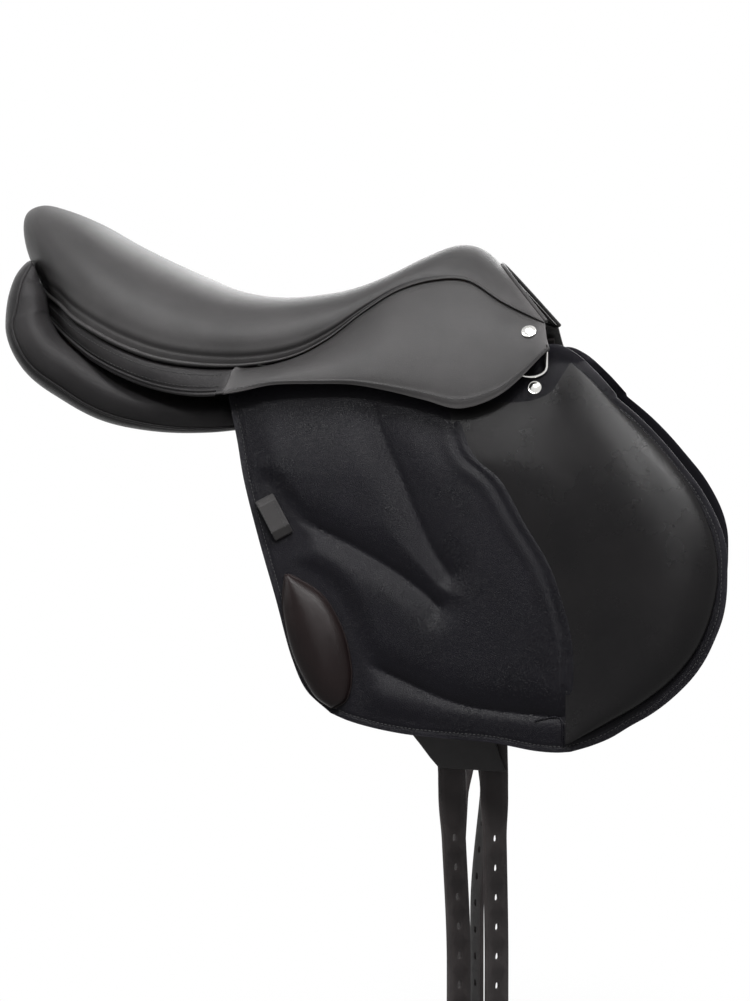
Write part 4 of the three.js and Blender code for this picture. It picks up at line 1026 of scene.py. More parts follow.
# %% Skirts
turning_reach = 6  # the bend turns from this far above its line to this far below, in millimetres
bend_way, bend_middle = bend_end - bend_start, (bend_start + bend_end) / 2
fall_way = line_at(hem_line, 15.0) - line_at(seam_line, 15.0)
fall_way -= bend_way * (fall_way @ bend_way) / (bend_way @ bend_way)
fall_way *= turning_reach / np.linalg.norm(fall_way)


def bend_skirt(piece, side, *nodes):
    """Bakes a skirt piece into its mesh and hides its nodes; the places on the bend line that it works out do
    not turn it.
    """
    mirrored = np.array([1, -1 if side == "left" else 1, 1])
    ends = [(bend_middle + sign * fall_way) * mirrored * mm for sign in (-1, 1)]
    bend_onto(piece, f"skirt_{side}_tip", ends, "seat_leather", *nodes)


along, down = np.linspace(skirt_start, last_station, 121), np.linspace(0, 2, 57)
skirt_station, skirt_fall = np.meshgrid(along, down, indexing="ij")
hem_roll = [(0.8, 0, 0.05), (-0.5, 0.13, 0.035)]  # the hem turns in, under a raised line
rolled = profile(np.minimum(2 - skirt_fall, 1), hem_roll)[..., None]
skirt_thickness = 3.4
skirt_plain = skirt_face(skirt_station, skirt_fall)
skirt_outer = tuck(skirt_plain - out_of(skirt_plain) * rolled, rows=4, reach=0.5, short=0.9)
skirt_inner = leather_under(skirt_outer, skirt_thickness)
skirt = hide_from_grids("skirt", skirt_outer, skirt_inner, "seat", edge=0.9, rims=(0.03, 0.03))
for piece, side in with_left(skirt, "skirt_leather"):
    bend_skirt(piece, side, f"skirt_{side}", f"skirt_tip_{side}")
sewn_row = 56
skirt_seam = skirt_outer[2:-1, sewn_row] + out_of(skirt_outer)[2:-1, sewn_row] * 0.1
for piece, side in with_left(stitches("skirt_stitches", [skirt_seam]), "skirt_stitches"):
    bend_skirt(piece, side)
print("skirt:", len(skirt.data.polygons), "faces")

# %% [markdown]
# ## Panels
# The two panels carry the saddle on the horse's back. Each is a long bag of calfskin stuffed with wool: thick
# and turned up behind, thinner along the back and flat at the points in front. A bag like this is a tube
# whose section changes along a line, so it is lofted from rings, close enough together to look sewn, not
# turned. A piped seam runs along its outer side, where the cover meets the gusset.

# %% The panel's line and form
panel_reach, panel_half_span, panel_depth = 212, 146, 38
panel_shares = np.array([  # its middle's x, y and z, half width and height, then slope and turn in degrees
    (-0.985, 0.56, 3.93, 0.03, 0.06, 5, 12),
    (-0.99, 0.56, 3.85, 0.13, 0.34, 5, 12),
    (-1.012, 0.552, 3.52, 0.23, 0.68, 6, 12),
    (-1.018, 0.55, 3.06, 0.3, 0.94, 7, 12),
    (-1.0, 0.56, 2.42, 0.345, 1.15, 6, 10),
    (-0.92, 0.595, 1.8, 0.375, 1.26, 5, 7),
    (-0.775, 0.62, 1.3, 0.395, 1.32, 5, 3),
    (-0.63, 0.63, 0.9, 0.395, 1.26, 7, 0),
    (-0.47, 0.61, 0.68, 0.375, 1.1, 11, 0),
    (-0.28, 0.55, 0.6, 0.31, 0.94, 17, 0),
    (-0.09, 0.48, 0.66, 0.255, 0.86, 22, 0),
    (0.12, 0.45, 0.8, 0.265, 0.76, 30, 0),
    (0.34, 0.44, 1.02, 0.285, 0.66, 38, 0),
    (0.56, 0.435, 1.2, 0.315, 0.6, 45, 0),
    (0.8, 0.44, 1.28, 0.335, 0.56, 50, 0),
    (1.02, 0.455, 1.32, 0.34, 0.5, 54, 0),
    (1.13, 0.475, 1.35, 0.29, 0.3, 55, 0),
])
panel_line = smooth_line(panel_shares[:, :3] * [panel_reach, -panel_half_span, panel_depth])
panel_form = smooth_line(panel_shares[:, 3:] * [100, 100, 1, 1])  # as per cent, so no column rules the curve
panel_steps = np.linspace(0, 1, 150)
panel_centre = panel_line(panel_steps)
half_widths, heights, slopes, turneds = (panel_form(panel_steps) * [0.01, 0.01, 1, 1]).T
slopes, turneds = np.radians(slopes), np.radians(turneds)


def unit(ways):
    """Gives each way a length of 1."""
    return ways / np.linalg.norm(ways, axis=1, keepdims=True)


panel_run = unit(np.gradient(panel_centre, axis=0))
outward = unit(np.stack([np.tan(turneds), -np.ones_like(turneds), -np.tan(slopes)], axis=1))
outward = unit(outward - panel_run * np.sum(outward * panel_run, axis=1, keepdims=True))
panel_up = np.cross(outward, panel_run)
print("panel:", len(panel_shares), "sections")

# %% The panel's skin
press_softness = 1.5  # how softly the bag meets the wall that it is pressed against
band_room = 2.6  # between the seam's line and the bag
free_from, free_over = 4, 36  # how far below the hem the bag comes free of the wall, and over what height
free_rates = (40, 60)  # how far it then stands off, at first and further down
wall_lean = 0.5  # how far the wall leans back for each millimetre above the seam
bag_power = 0.75  # below 1 a section is squarer than an ellipse


def squared(value):
    """Turns a sine or cosine into one of a squarer section."""
    return np.sign(value) * np.abs(value) ** bag_power


def panel_ring(turn, grow=0.0):
    """The panel's skin at a turn round its section: 0 is its outer side and a quarter its top."""
    wide = half_widths * panel_half_span + grow
    deep = heights * panel_depth / 2 + grow
    sideways = outward * (squared(np.cos(turn)) * wide)[:, None]
    return panel_centre + sideways + panel_up * (squared(np.sin(turn)) * deep)[:, None]


def pressed(skin):
    """Behind the band the stuffed bag lies against the band and the seat's back, and takes their form."""
    stations = np.linspace(0, 8, 80)
    seam, hem = line_at(seam_line, stations), line_at(hem_line, stations)
    span, height = -skin[..., 1], skin[..., 2]
    seam_z, hem_z = (np.interp(span, -line[:, 1], line[:, 2]) for line in (seam, hem))
    wall = np.interp(span, -seam[:, 1], np.minimum(seam[:, 0], hem[:, 0]))
    wall = wall - band_room - wall_lean * np.maximum(0, height - seam_z)
    below_hem = np.maximum(0, hem_z - free_from - height) / free_over
    free = free_rates[0] * below_hem + free_rates[1] * below_hem**2
    over = np.clip((skin[..., 0] - wall - free) / press_softness, -30, 30)
    skin[..., 0] -= press_softness * np.log1p(np.exp(over))
    return skin


print("panel's width in its middle:", round(2 * half_widths[75] * panel_half_span), "mm")

# %% Panels and their piping
panel_sides = 64
seam_turn, seam_depth, seam_width = math.radians(-18), 0.9, 0.09
turns = np.linspace(0, 2 * math.pi, panel_sides, endpoint=False)
from_seam = (turns - seam_turn + math.pi) % (2 * math.pi) - math.pi
seam_dips = seam_depth * bell(from_seam, 0, seam_width)
panel_skin = pressed(np.stack([panel_ring(turn, -dip) for turn, dip in zip(turns, seam_dips)], axis=1))
tip_reach = 0.5
panel_tips = [panel_centre[:1] - panel_run[:1] * tip_reach, panel_centre[-1:] + panel_run[-1:] * tip_reach]
panel_faces = grid_faces(len(panel_steps), panel_sides, ring=True) + end_faces(len(panel_steps), panel_sides)
panel_places = np.vstack([panel_skin.reshape(-1, 3), *panel_tips])
# The panel and its piping take the darker panel calf: partly their own leather, partly painted shade under
# the seat.
panel = settle(new_piece("wool_panel", panel_places, panel_faces, "panel"))
both_sides(panel, "wool_panel", "saddle", "seat_leather", "panel_{}", padded=0.7)
panel_cord_radius = 1.3
panel_seam = pressed(panel_ring(seam_turn, grow=-0.4)[3:-3])
panel_piping = tube("panel_piping", panel_seam, panel_cord_radius, "panel", sides=8)
both_sides(panel_piping, "panel_piping", "saddle", "seat_leather")
print("panel:", len(panel.data.polygons), "faces")

# %% [markdown]
# ## Flaps
# The flap is one thick hide. Its top is fixed to the tree, and the rest lifts with it about a line along
# the saddle. A single hide is made here from two patches that meet on that line.
# Three sewn creases and the knee pad's seam pull it down on a thin padding. Each crease is a line across the
# hide, and a point's height depends on how near the next line is: that gives grooves with soft fields
# between them.

# %% The flap's outline
flap_width, flap_rear_x, flap_line_height, flap_drop = 427, -30, 30, 294
flap_rear_shares = [
    (0, 0), (0.021, 0.122), (0.038, 0.238), (0.073, 0.411), (0.11, 0.575), (0.148, 0.75), (0.178, 0.837),
    (0.227, 0.9),
]
flap_bottom_shares = [
    (0.227, 0.9), (0.26, 0.92), (0.307, 0.939), (0.375, 0.957), (0.445, 0.966), (0.543, 0.976),
    (0.632, 0.997), (0.674, 1), (0.7, 0.997),
]
flap_front_shares = [
    (0.78, 0), (0.827, 0.058), (0.867, 0.116), (0.907, 0.184), (0.949, 0.262), (0.984, 0.357), (0.998, 0.43),
    (1, 0.5), (0.998, 0.568), (0.991, 0.622), (0.977, 0.677), (0.958, 0.735), (0.932, 0.789), (0.892, 0.847),
    (0.855, 0.888), (0.815, 0.922), (0.777, 0.956), (0.738, 0.98), (0.7, 0.997),
]
flap_crest_shares = [
    (0, 0.16), (0.1, 0.66), (0.33, 0.7), (0.45, 0.75), (0.58, 1.05), (0.65, 1.5), (0.69, 1.3), (0.74, 0.68),
    (0.778, 0.08),
]


def flap_line_of(shares):
    """A smooth line in the flap's plane, from shares of its width and drop."""
    points = [(flap_rear_x + x * flap_width, 0, flap_line_height - z * flap_drop) for x, z in shares]
    return smooth_line(points)


flap_top = flap_line_of([(0, 0), (0.78, 0)])
flap_rear, flap_bottom = flap_line_of(flap_rear_shares), flap_line_of(flap_bottom_shares)
flap_front = flap_line_of(flap_front_shares)
print("flap's foot at", flap_bottom(1.0).round(1))

# %% The flap's face
flap_top_height, flap_top_half_span, flap_flare, flap_wrap = 60, 97, 81, 12
flap_middle_share = 0.468
flap_middle_x = flap_rear_x + flap_middle_share * flap_width


def flap_half_span(x, z):
    """How far the face is from the middle plane. It flares towards its foot and bows away at its ends."""
    fall = np.clip((flap_top_height - z) / (flap_top_height + flap_drop - flap_line_height), 0, 1)
    from_middle = (x - flap_middle_x) / (flap_middle_share * flap_width)
    return flap_top_half_span + flap_flare * fall**0.9 + flap_wrap * from_middle**2


def on_flap(places, lift=0.0):
    """Moves places in the flap's plane out to its face, and a lift further."""
    x, z = places[..., 0], places[..., 2]
    return np.stack([x, -flap_half_span(x, z) - lift, z], axis=-1)


def patch(top, bottom, side_a, side_b, us, vs):
    """Places inside four lines: us run along the top and bottom, vs along the two sides."""
    u, v = np.meshgrid(us, vs, indexing="ij")
    corners = between(between(top(0.0), top(1.0), u), between(bottom(0.0), bottom(1.0), u), v)
    return between(top(u), bottom(u), v) + between(side_a(v), side_b(v), u) - corners


def near_line(places, lines):
    """How far each place is from the nearest of some lines, in the flap's plane."""
    points = np.vstack([line(np.linspace(0, 1, 70)) for line in lines])[:, [0, 2]]
    flat_places = places[..., [0, 2]].reshape(-1, 2)
    far = np.full(len(flat_places), 1e9)
    for point in points:
        far = np.minimum(far, np.hypot(*(flat_places - point).T))
    return far.reshape(places.shape[:-1])


print("flap's half span at its foot:", round(float(flap_half_span(flap_middle_x, -260)), 1))

# %% Lines of the creases and pads
crease_lines = [flap_line_of(shares) for shares in (
    [(0.281, -0.03), (0.3, 0.06), (0.318, 0.124), (0.372, 0.296), (0.414, 0.424), (0.452, 0.509)],
    [(0.118, 0.335), (0.214, 0.397), (0.316, 0.474), (0.397, 0.552), (0.434, 0.6)],
    [(0.272, 0.746), (0.362, 0.806), (0.482, 0.873), (0.58, 0.893), (0.678, 0.904)],
)]
knee_seam = flap_line_of([
    (0.44, 0), (0.47, 0.16), (0.53, 0.24), (0.582, 0.36), (0.635, 0.48), (0.662, 0.58), (0.682, 0.68),
    (0.688, 0.77), (0.689, 0.86), (0.69, 0.975),
])
knee_front = flap_line_of([
    (0.687, -0.1), (0.725, -0.055), (0.785, 0.03), (0.855, 0.125), (0.925, 0.25), (0.968, 0.375),
    (0.982, 0.485), (0.972, 0.595), (0.946, 0.695), (0.906, 0.775), (0.846, 0.85), (0.766, 0.92),
    (0.7, 0.972),
])
knee_top = flap_line_of([
    (0.44, 0), (0.52, 0.012), (0.6, 0.012), (0.645, -0.012), (0.667, -0.055), (0.687, -0.1),
])
thigh_rear = flap_line_of([
    (0.128, 0.512), (0.127, 0.6), (0.145, 0.715), (0.168, 0.79), (0.198, 0.855), (0.228, 0.885),
])
thigh_front = flap_line_of([
    (0.135, 0.508), (0.2, 0.565), (0.242, 0.655), (0.262, 0.745), (0.266, 0.81), (0.256, 0.865),
    (0.232, 0.887),
])
thigh_middle = flap_line_of([(0.135, 0.52), (0.165, 0.6), (0.195, 0.7), (0.21, 0.79), (0.226, 0.87)])
keeper_middle = flap_line_of([(0.075, 0.29), (0.102, 0.348), (0.129, 0.406)])
print("creases:", len(crease_lines))

# %% Relief of the flap
field_height, field_width = 4.2, 15  # the padding, and how far from a crease it is full
crease_grooves = [(-1.5, 0, 4.5), (-0.9, 0, 1.5)]
knee_seam_ridges = [(0.8, 7, 5), (-1.1, 0, 2.2)]
edge_grooves = [(-0.45, 5, 1.6)]


def before_knee(places):
    """1 behind the knee pad's seam, and 0 under the pad."""
    seam = knee_seam(np.linspace(0, 1, 80))
    seam_x = np.interp(-places[..., 2], -seam[:, 2], seam[:, 0])
    return 1 - smoothstep(places[..., 0] - seam_x, 6, 20)


def crease_lift(places):
    """Height of the padded hide over its plain face: grooves on the lines, soft fields between them."""
    to_crease = near_line(places, crease_lines)
    to_knee = near_line(places, [knee_seam])
    to_edge = near_line(places, [flap_rear, flap_bottom, flap_front])
    clear = smoothstep(near_line(places, [thigh_rear, thigh_middle, thigh_front]), 8, 30)
    clear = clear * smoothstep(near_line(places, [keeper_middle]), 12, 30)
    field = field_height * (1 - bell(to_crease, 0, field_width)) * clear
    sewn = profile(to_crease, crease_grooves) * clear + profile(to_knee, knee_seam_ridges)
    calm = smoothstep(to_edge, 6, 34) * smoothstep(-places[..., 2], -36, 40)
    return (field + sewn) * calm * before_knee(places) + profile(to_edge, edge_grooves)


print("relief at the flap's middle:", crease_lift(np.array([[flap_middle_x, 0, -120]])).round(2), "mm")

# %% Flap hides
hide_depth, crest_room = 4.4, 0.6
us = np.linspace(0, 1, 181)
lower_places = patch(flap_top, flap_bottom, flap_rear, flap_front, us, np.linspace(0, 1, 136))
crest_foot = flap_line_height + crest_room
crest = smooth_line([
    (flap_rear_x + x * flap_width, 0, crest_foot + z * flap_line_height) for x, z in flap_crest_shares
])(us)[:, None]
upper_places = between(crest, lower_places[:, :1], np.linspace(0, 1, 16)[None, :-1])
flap_places = np.concatenate([upper_places, lower_places], axis=1)
flap_outer, flap_inner = on_flap(flap_places, crease_lift(flap_places)), on_flap(flap_places, -hide_depth)
flap = hide_from_grids("flap_hide", flap_outer, flap_inner, "flap", edge=0.9, rims=(0.015, 0.015))
turning_span, turning_heights = 0.1195, (0.036, 0.024)  # in metres, above and below the line it lifts on


def bend_flap(piece, side, slot, *nodes, padded=None):
    """Bakes a piece into its mesh and hides its nodes; the places on the line that the flap lifts on are
    worked out but do not turn it.
    """
    y = turning_span * (1 if side == "left" else -1)
    ends = [(0, y, z) for z in turning_heights]
    bend_onto(piece, f"flap_{side}_body", ends, slot, *nodes, padded=padded)


for piece, side in with_left(flap, "flap_hide"):
    bend_flap(piece, side, "flap_leather", f"flap_{side}", f"flap_top_{side}")
print("flap:", len(flap.data.polygons), "faces")

# %% Seam along the flap's edge
seam_from_edge = 5
edge_steps = np.linspace(0, 1, 260)
flap_edge = np.vstack([flap_rear(edge_steps), flap_bottom(edge_steps)[1:], flap_front(edge_steps)[::-1][1:]])
edge_way = unit(np.gradient(flap_edge, axis=0))
inwards = np.stack([-edge_way[:, 2], edge_way[:, 1], edge_way[:, 0]], axis=1)
sewn_edge = (flap_edge + inwards * seam_from_edge)[8:-8]
edge_seam = on_flap(sewn_edge, crease_lift(sewn_edge[:, None])[:, 0] + 0.1)
for piece, side in with_left(stitches("flap_stitches", [edge_seam]), "flap_stitches"):
    bend_flap(piece, side, "flap_leather")
print("seam of", len(edge_seam), "places")

# %% [markdown]
# ## Knee and thigh pads
# A jumping flap carries a long stuffed pad in front of the knee and a small one behind the thigh. Each is a
# crowned field of soft calfskin between two lines on the flap. Its back is flat on the hide it is sewn to,
# and its face rises steeply from the seams and is fullest in its middle.

# %% A pad
pad_root = 2.5  # how high the face stands at the pad's seams


def pad_piece(name, sides, crown, finish, fullness, top=None, lean=1.0):
    """A crowned pad between two lines. With a top line of its own its face rises softly below that line.
    A lean above 1 moves its crown towards the front line."""
    rear, front = sides
    soft_top = top is not None
    top = top if soft_top else smooth_line([rear(0.0), front(0.0)])
    foot = smooth_line([rear(1.0), front(1.0)])
    us, vs = ((1 - np.cos(np.linspace(0, math.pi, count))) / 2 for count in (61, 101))
    places = patch(top, foot, rear, front, us, vs)
    u, v = np.meshgrid(us, vs, indexing="ij")
    across = np.maximum(0, np.sin(math.pi * u**lean)) ** fullness
    down = np.maximum(0, np.sin(math.pi * v)) ** fullness
    root = pad_root
    if soft_top:
        down = np.where(v < 0.5, smoothstep(v, -0.02, 0.26 + 0.2 * (1 - u)), down)
        root = 0.6 + 1.9 * smoothstep(v, 0, 0.16)
    outer = on_flap(places, clearance + root + (crown - root) * (across * down))
    return hide_from_grids(name, outer, on_flap(places, clearance), finish, edge=0.9)


knee_crown, thigh_crown = 19, 15
knee_lines, thigh_lines = (knee_seam, knee_front), (thigh_rear, thigh_front)
knee = pad_piece("knee_roll", knee_lines, knee_crown, "pad", fullness=0.62, top=knee_top, lean=1.5)
for piece, side in with_left(knee, "knee_roll"):
    bend_flap(piece, side, "flap_leather", f"knee_pad_{side}", padded=0.75)
thigh = pad_piece("thigh_roll", thigh_lines, thigh_crown, "brown", fullness=0.55)
both_sides(thigh, "thigh_roll", "flap_{}_body", "brown_leather", "thigh_pad_{}", padded=0.75)
print("pads:", len(knee.data.polygons) + len(thigh.data.polygons), "faces a side")

# %% Piping on the flap
thigh_cord_radius, corner_cord_radius = 1.1, 0.8
thigh_round = np.vstack([thigh_rear(np.linspace(0, 1, 60)), thigh_front(np.linspace(1, 0, 60))[1:-1]])
thigh_cord = on_flap(thigh_round, lift=1.3)
thigh_piping = tube("thigh_piping", thigh_cord, thigh_cord_radius, "brown", sides=8, closed=True)
both_sides(thigh_piping, "thigh_piping", "flap_{}_body", "brown_leather")
corner = flap_line_of([
    (0.63, 0.914), (0.652, 0.906), (0.673, 0.903), (0.682, 0.915), (0.6835, 0.95), (0.685, 0.985),
])
corner_line = smooth_line(corner(np.linspace(0, 1, 9)))(np.linspace(0, 1, 50))
corner_cord = on_flap(corner_line, crease_lift(corner_line[:, None])[:, 0] + 0.5)
corner_piping = tube("corner_piping", corner_cord, corner_cord_radius, "flap", sides=8)
both_sides(corner_piping, "corner_piping", "flap_{}_body", "flap_leather")
print("piping round the thigh pad and in the flap's corner")

# %% [markdown]
# ## Small leathers cut from sheet
# The keeper, the ring's loop and the guards are flat leathers with cut edges. Their shape in the frame is
# right, so each is made from its node: its loose triangles are merged, the flat faces joined again and the
# edges rounded with a bevel, as an edge tool and burnishing do on a bench.

# %% Keepers, loops and guards
def burnished(node_name, finish, width):
    """A node's leather with merged faces and edges rounded to a width in millimetres."""
    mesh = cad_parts[node_name].data.copy()
    mesh.name = f"{node_name}_leather"
    work = bmesh.new()
    work.from_mesh(mesh)
    bmesh.ops.remove_doubles(work, verts=work.verts, dist=1e-5)
    bmesh.ops.dissolve_limit(work, angle_limit=math.radians(1.5), verts=work.verts, edges=work.edges)
    work.to_mesh(mesh)
    work.free()
    mesh.materials.clear()
    mesh.materials.append(finishes[finish])
    piece = add_object(f"{node_name}_leather", mesh)
    round_edges(piece, width, segments=3, angle=35)
    return settle(piece, 30)


cut_leathers = [  # node, finish, rounded edge, body and slot
    ("strap_keeper_{}", "seat", 0.8, "flap_{}_body", "flap_leather"),
    ("dee_chape_{}", "strap", 0.4, "saddle", "strap_leather"),
    # The guard wears the seat's lighter calf, not the flap's hide, which paints a highlight over all of it.
    ("strap_guard_{}", "seat", 0.8, "saddle", "flap_leather"),
]
for side in ("right", "left"):
    for node_name, finish, width, body, slot in cut_leathers:
        node_name = node_name.format(side)
        wear_on(burnished(node_name, finish, width), body.format(side), slot, node_name)
print("cut leathers:", 2 * len(cut_leathers))

# %% Seams on the keeper
keeper_shares, keeper_slope = (0.102, 0.348), math.radians(28)
seam_half_length, seam_half_width, keeper_height = 11, 6.3, 8.05
keeper_place = np.array([
    flap_rear_x + keeper_shares[0] * flap_width, 0, flap_line_height - keeper_shares[1] * flap_drop
])
down_keeper = np.array([math.sin(keeper_slope), 0, -math.cos(keeper_slope)])
over_keeper = np.array([math.cos(keeper_slope), 0, math.sin(keeper_slope)])
seam_steps = np.linspace(-seam_half_length, seam_half_length, 20)[:, None]
keeper_rows = [
    on_flap(keeper_place + over_keeper * wide + down_keeper * seam_steps, keeper_height)
    for wide in (-seam_half_width, seam_half_width)
]
keeper_stitches = stitches("keeper_stitches", keeper_rows, step=2.8, thread=0.34)
both_sides(keeper_stitches, "keeper_stitches", "flap_{}_body", "flap_leather")
print("rows of stitches on a keeper:", len(keeper_rows))

# %% [markdown]
# ## Girth straps
# Two straps hang on each side to buckle the girth. Each is a flat strip with eight holes an inch apart. It
# comes out from under the guard, twists to face forward and hangs. A hole that is really punched lets
# light through, so the strip is made of cells: every cell joins a hole's edge to a square of the strip.

# %% Where a strap lies
strap_width, strap_thickness, strap_length, strap_half_span = 24, 3.6, 300, 118
strap_top_height, run_rise, strap_butt = -293, 346.7, 0.9
hangs = {  # shares of the flap's width, degrees and strap widths
    "right": {"feet": {"rear": 0.454, "front": 0.5386}, "turned": 43, "sways": {"rear": 0.25, "front": 0.1}},
    "left": {"feet": {"rear": 0.4215, "front": 0.481}, "turned": 60, "sways": {"rear": -0.25, "front": -0.5}},
}
run_tops = {"rear": 0.407, "front": 0.515}
run_spans = [(0, 0.746), (0.05, 0.798), (0.1, 0.848), (0.122, 0.86), (0.5, 0.916), (1, 1)]
twist_drop, sway_drop = 55, 0.55 * strap_length  # where the strap is fully twisted, and swayed


def strap_point(side, run, drop, wide, thick):
    """A place on a strap: drop is measured from the line it bends on, and is negative behind the flap.
    Wide is -1 to 1 across the strap and thick is measured out of its middle."""
    hang = hangs[side]
    turn = math.radians(hang["turned"]) * smoothstep(drop, 0, twist_drop)
    fall = np.clip(1 + (drop + strap_butt) / run_rise, 0, 1)
    foot = flap_rear_x + flap_width * (run_tops[run] * (1 - fall) + hang["feet"][run] * fall)
    x = foot + hang["sways"][run] * strap_width * smoothstep(drop, 0, sway_drop)
    half = wide * strap_width / 2
    span = strap_half_span * np.interp(fall, *zip(*run_spans))
    y = -span + np.sin(turn) * half - np.cos(turn) * thick
    return np.stack([x + np.cos(turn) * half + np.sin(turn) * thick, y, strap_top_height - drop], axis=-1)


print("strap's end:", strap_point("right", "rear", strap_length, 0, 0).round(1))

# %% The strap laid flat
hole_start, hole_pitch, hole_count, hole_radius = 55, 25.4, 8, 2.0
hole_loops = (2.1, 1.35, 1.0)  # rings of places round a hole, in hole radii
columns = np.array([-1, -0.5, 0, 0.5, 1])
tip_start, tip_narrowing = 0.9 * strap_length, 0.55


def round_hole(middle, corner, grow):
    """A place round a hole, towards a corner of its cell. The girth's pull has drawn the hole upwards."""
    drop, wide = corner
    turn = math.atan2(drop - middle, wide * strap_width / 2)
    reach = hole_radius * grow * (1 + 1.1 * max(0, -math.sin(turn)) ** 4)
    return middle + reach * math.sin(turn), reach * math.cos(turn) / (strap_width / 2)


def strap_pattern():
    """The strip's places (drop, wide) and its faces."""
    numbers, faces = {}, []

    def number_of(drop, wide):
        return numbers.setdefault((round(float(drop), 3), round(float(wide), 4)), len(numbers))

    def lay_strip(drops, widths):
        rows = [[number_of(drop, column * width) for column in columns] for drop, width in zip(drops, widths)]
        for upper, lower in zip(rows, rows[1:]):
            for i in range(len(columns) - 1):
                faces.append([upper[i], lower[i], lower[i + 1], upper[i + 1]])

    def lay_hole(middle):
        drops = np.linspace(middle - hole_pitch / 2, middle + hole_pitch / 2, len(columns))
        corners = [(drops[0], wide) for wide in columns] + [(drop, 1) for drop in drops[1:]]
        corners += [(drops[-1], wide) for wide in columns[-2::-1]] + [(drop, -1) for drop in drops[-2:0:-1]]
        loops = [[number_of(*corner) for corner in corners]]
        loops += [[number_of(*round_hole(middle, corner, grow)) for corner in corners] for grow in hole_loops]
        for outer, inner in zip(loops, loops[1:]):
            for i, j in zip(range(len(corners)), [*range(1, len(corners)), 0]):
                faces.append([outer[i], inner[i], inner[j], outer[j]])

    holes_from = hole_start - hole_pitch / 2
    holes_to = holes_from + hole_pitch * hole_count
    above = np.concatenate([np.linspace(-strap_butt - run_rise, 0, 60)[:-1], np.linspace(0, holes_from, 12)])
    lay_strip(above, np.ones(len(above)))
    for hole in range(hole_count):
        lay_hole(hole_start + hole * hole_pitch)
    tail = np.concatenate([np.linspace(holes_to, tip_start, 6), np.linspace(tip_start, strap_length, 8)[1:]])
    tip = np.clip((tail - tip_start) / (strap_length - tip_start), 0, 1)
    lay_strip(tail, 1 - tip_narrowing * tip**1.6)
    return np.array(list(numbers)), faces


flat_strap, strap_faces = strap_pattern()
print("strap:", len(strap_faces), "cells")

# %% The strap's mesh
hole_dent, dent_reach = 0.35, 4.2  # how far the face sinks at a hole, and over what width


def dent_at(drop, wide):
    """How far the strap's face is pressed in round its holes."""
    from_hole = np.abs((drop - hole_start + hole_pitch / 2) % hole_pitch - hole_pitch / 2)
    holes = (drop > hole_start - 12) & (drop < hole_start + hole_pitch * (hole_count - 0.5))
    return hole_dent * bell(np.hypot(from_hole, wide * strap_width / 2), 0, dent_reach) * holes


def strap_piece(name, side, run):
    """One strap, still on the right side, with the fixed run and the free run in one mesh."""
    drop, wide = flat_strap.T
    dent, half = dent_at(drop, wide), strap_thickness / 2
    front = strap_point(side, run, drop, wide, half - dent)
    back = strap_point(side, run, drop, wide, -half)
    count = len(front)
    edges = dict.fromkeys((a, b) for face in strap_faces for a, b in zip(face, face[1:] + face[:1]))
    walls = [[b, a, a + count, b + count] for a, b in edges if (b, a) not in edges]
    faces = strap_faces + [[i + count for i in face[::-1]] for face in strap_faces] + walls
    piece = new_piece(name, np.vstack([front, back]), faces, "strap")
    worn = np.maximum(np.clip(np.abs(wide) * 6 - 5, 0, 1), dent / hole_dent)
    mark_worn(piece, np.concatenate([worn, worn]))
    round_edges(piece, 0.7)
    return settle(piece)


print("deepest dent:", round(float(dent_at(*flat_strap.T).max()), 2), "mm")

# %% Girth straps
seam_drops, seam_places = np.linspace(-120, 0.88 * strap_length, 150), (-0.82, 0.82)
seam_height_on_strap, turning_rise = strap_thickness / 2 + 0.05, 4
for side, sign in (("right", -1), ("left", 1)):
    for run in run_tops:
        strap = strap_piece(f"girth_billet_{run}_{side}", side, run)
        rows = [strap_point(side, run, seam_drops, wide, seam_height_on_strap) for wide in seam_places]
        seams = stitches(f"billet_stitches_{run}_{side}", rows)
        if side == "left":
            mirror(strap.data)
            mirror(seams.data)
        x = flap_rear_x + hangs[side]["feet"][run] * flap_width
        ends = [
            (x * mm, sign * strap_half_span * mm, (strap_top_height + rise) * mm)
            for rise in (turning_rise, -turning_rise)
        ]
        body, nodes = f"{run}_strap_{side}", (f"girth_web_{run}_{side}", f"girth_strap_{run}_{side}")
        bend_onto(strap, body, ends, "strap_leather", *nodes)
        bend_onto(seams, body, ends, "strap_leather")
print("straps with", hole_count, "holes each")

# %% [markdown]
# ## Metalwork
# The nails' heads are spun discs: a low dome with a turned groove. The ring is a bent wire, drawn as a tube
# along the same route as its node. The bars, catches, pins and rivets are forged steel and the tree's
# points are cut beech. Their solids are already right, so they keep their meshes and get a finish.

# %% Nails
def face_at(surface, a, b, reach):
    """A place on a face and the way out of it."""
    along = surface(a + reach, b) - surface(a - reach, b)
    across = surface(a, b + reach) - surface(a, b - reach)
    out = np.cross(along, across)
    place = surface(a, b)
    return place, out / np.linalg.norm(out) * (1 if out @ (place * [0.25, 1, 0]) > 0 else -1)


nail_sides = 36
nail_profile = [  # shares of the radius and the height, from the leather up
    (1.0, 0.0), (1.0, 0.3), (0.97, 0.42), (0.9, 0.52), (0.84, 0.5), (0.8, 0.56), (0.72, 0.7), (0.58, 0.84),
    (0.4, 0.95), (0.2, 0.99),
]


def nail_head(place, out, radius, height):
    """A nail's head on a place, which stands out of the leather."""
    turn = np.array(Vector((0, 0, 1)).rotation_difference(Vector(out)).to_matrix())
    angles = np.linspace(0, 2 * math.pi, nail_sides, endpoint=False)
    rings = [
        (wide * radius * math.cos(a), wide * radius * math.sin(a), clearance + high * height)
        for wide, high in nail_profile for a in angles
    ]
    middles = [(0, 0, clearance), (0, 0, clearance + height)]
    faces = grid_faces(len(nail_profile), nail_sides, ring=True) + end_faces(len(nail_profile), nail_sides)
    return settle(new_piece("nail", np.array(rings + middles) @ turn.T + place, faces, "nickel"))


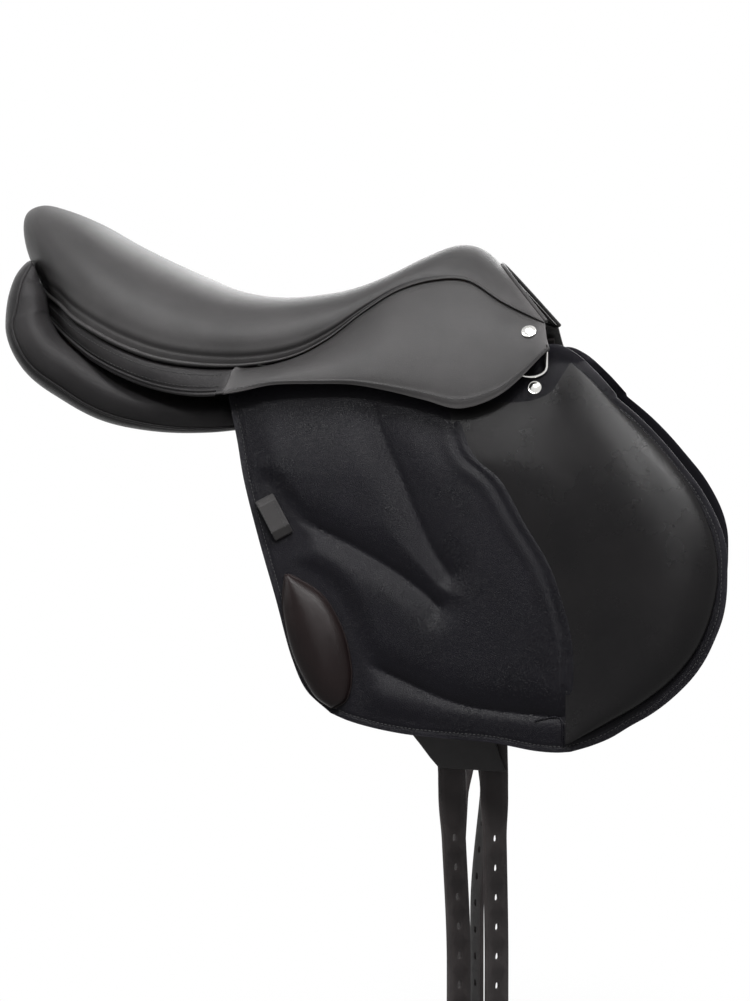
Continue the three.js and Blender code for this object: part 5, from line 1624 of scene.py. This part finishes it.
nail_height, skirt_nail_radius, flap_nail_radius = 2.6, 6.6, 5.94
skirt_nail_at = face_at(skirt_face, 0.98 * last_station, 0.55, reach=0.05)
skirt_nail = nail_head(*skirt_nail_at, skirt_nail_radius, nail_height)
both_sides(skirt_nail, "bright_nail_upper", "saddle", "bright_metal", "skirt_nail_{}")
flap_nail_x, flap_nail_z = flap_rear_x + 0.616 * flap_width, flap_line_height + 0.028 * flap_drop
flap_nail_at = face_at(lambda x, z: on_flap(np.array([x, 0, z])), flap_nail_x, flap_nail_z, reach=1.0)
flap_nail = nail_head(*flap_nail_at, flap_nail_radius, nail_height)
both_sides(flap_nail, "bright_nail_lower", "saddle", "bright_metal", "flap_nail_{}")
print("nails at", skirt_nail_at[0].round(1), flap_nail_at[0].round(1))

# %% The ring's wire
wire, ring_half_width, bow_start, bow_depth = 1.5, 13, -19, 8
ring_solid = np.array([tuple(v.co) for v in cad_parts["dee_ring_right"].data.vertices]) / mm
ring_low, ring_high = ring_solid.min(axis=0), ring_solid.max(axis=0)
bar_middle = ring_solid[ring_solid[:, 2] > ring_high[2] - 2.2 * wire].mean(axis=0)
foot_middle = ring_solid[ring_solid[:, 2] < ring_low[2] + 2.2 * wire].mean(axis=0)
bar_middle[0] = foot_middle[0] = (ring_low[0] + ring_high[0]) / 2
hang = (foot_middle - bar_middle) / np.linalg.norm(foot_middle - bar_middle)
outline = [(x, 0) for x in np.linspace(-11, 11, 8)] + [(12.6, -0.7), (13, -2.4)]
outline += [
    (ring_half_width * math.cos(turn), bow_start - bow_depth * math.sin(turn))
    for turn in np.linspace(0, math.pi, 25)
]
outline += [(-13, -2.4), (-12.6, -0.7)]
ring_route = np.array([bar_middle + np.array([x, 0, 0]) - hang * z for x, z in outline])
ring_wire = tube("ring_wire", ring_route, wire, "nickel", closed=True)
both_sides(ring_wire, "ring_wire", "ring_{}", "bright_metal", "dee_ring_{}")
print("ring hangs at", bar_middle.round(1))

# %% Nodes that keep their mesh
kept_nodes = {
    "steel": ("stirrup_bar", "bar_catch"),
    "nickel": ("catch_pin", "bar_rivet"),
    "wood": ("tree_point",),
}
for paint, starts in kept_nodes.items():
    dressed = [cad_node for name, cad_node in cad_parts.items() if name.startswith(starts)]
    for cad_node in dressed:
        cad_node.data.materials.clear()
        cad_node.data.materials.append(finishes[paint])
    print(paint, "on", len(dressed), "nodes")
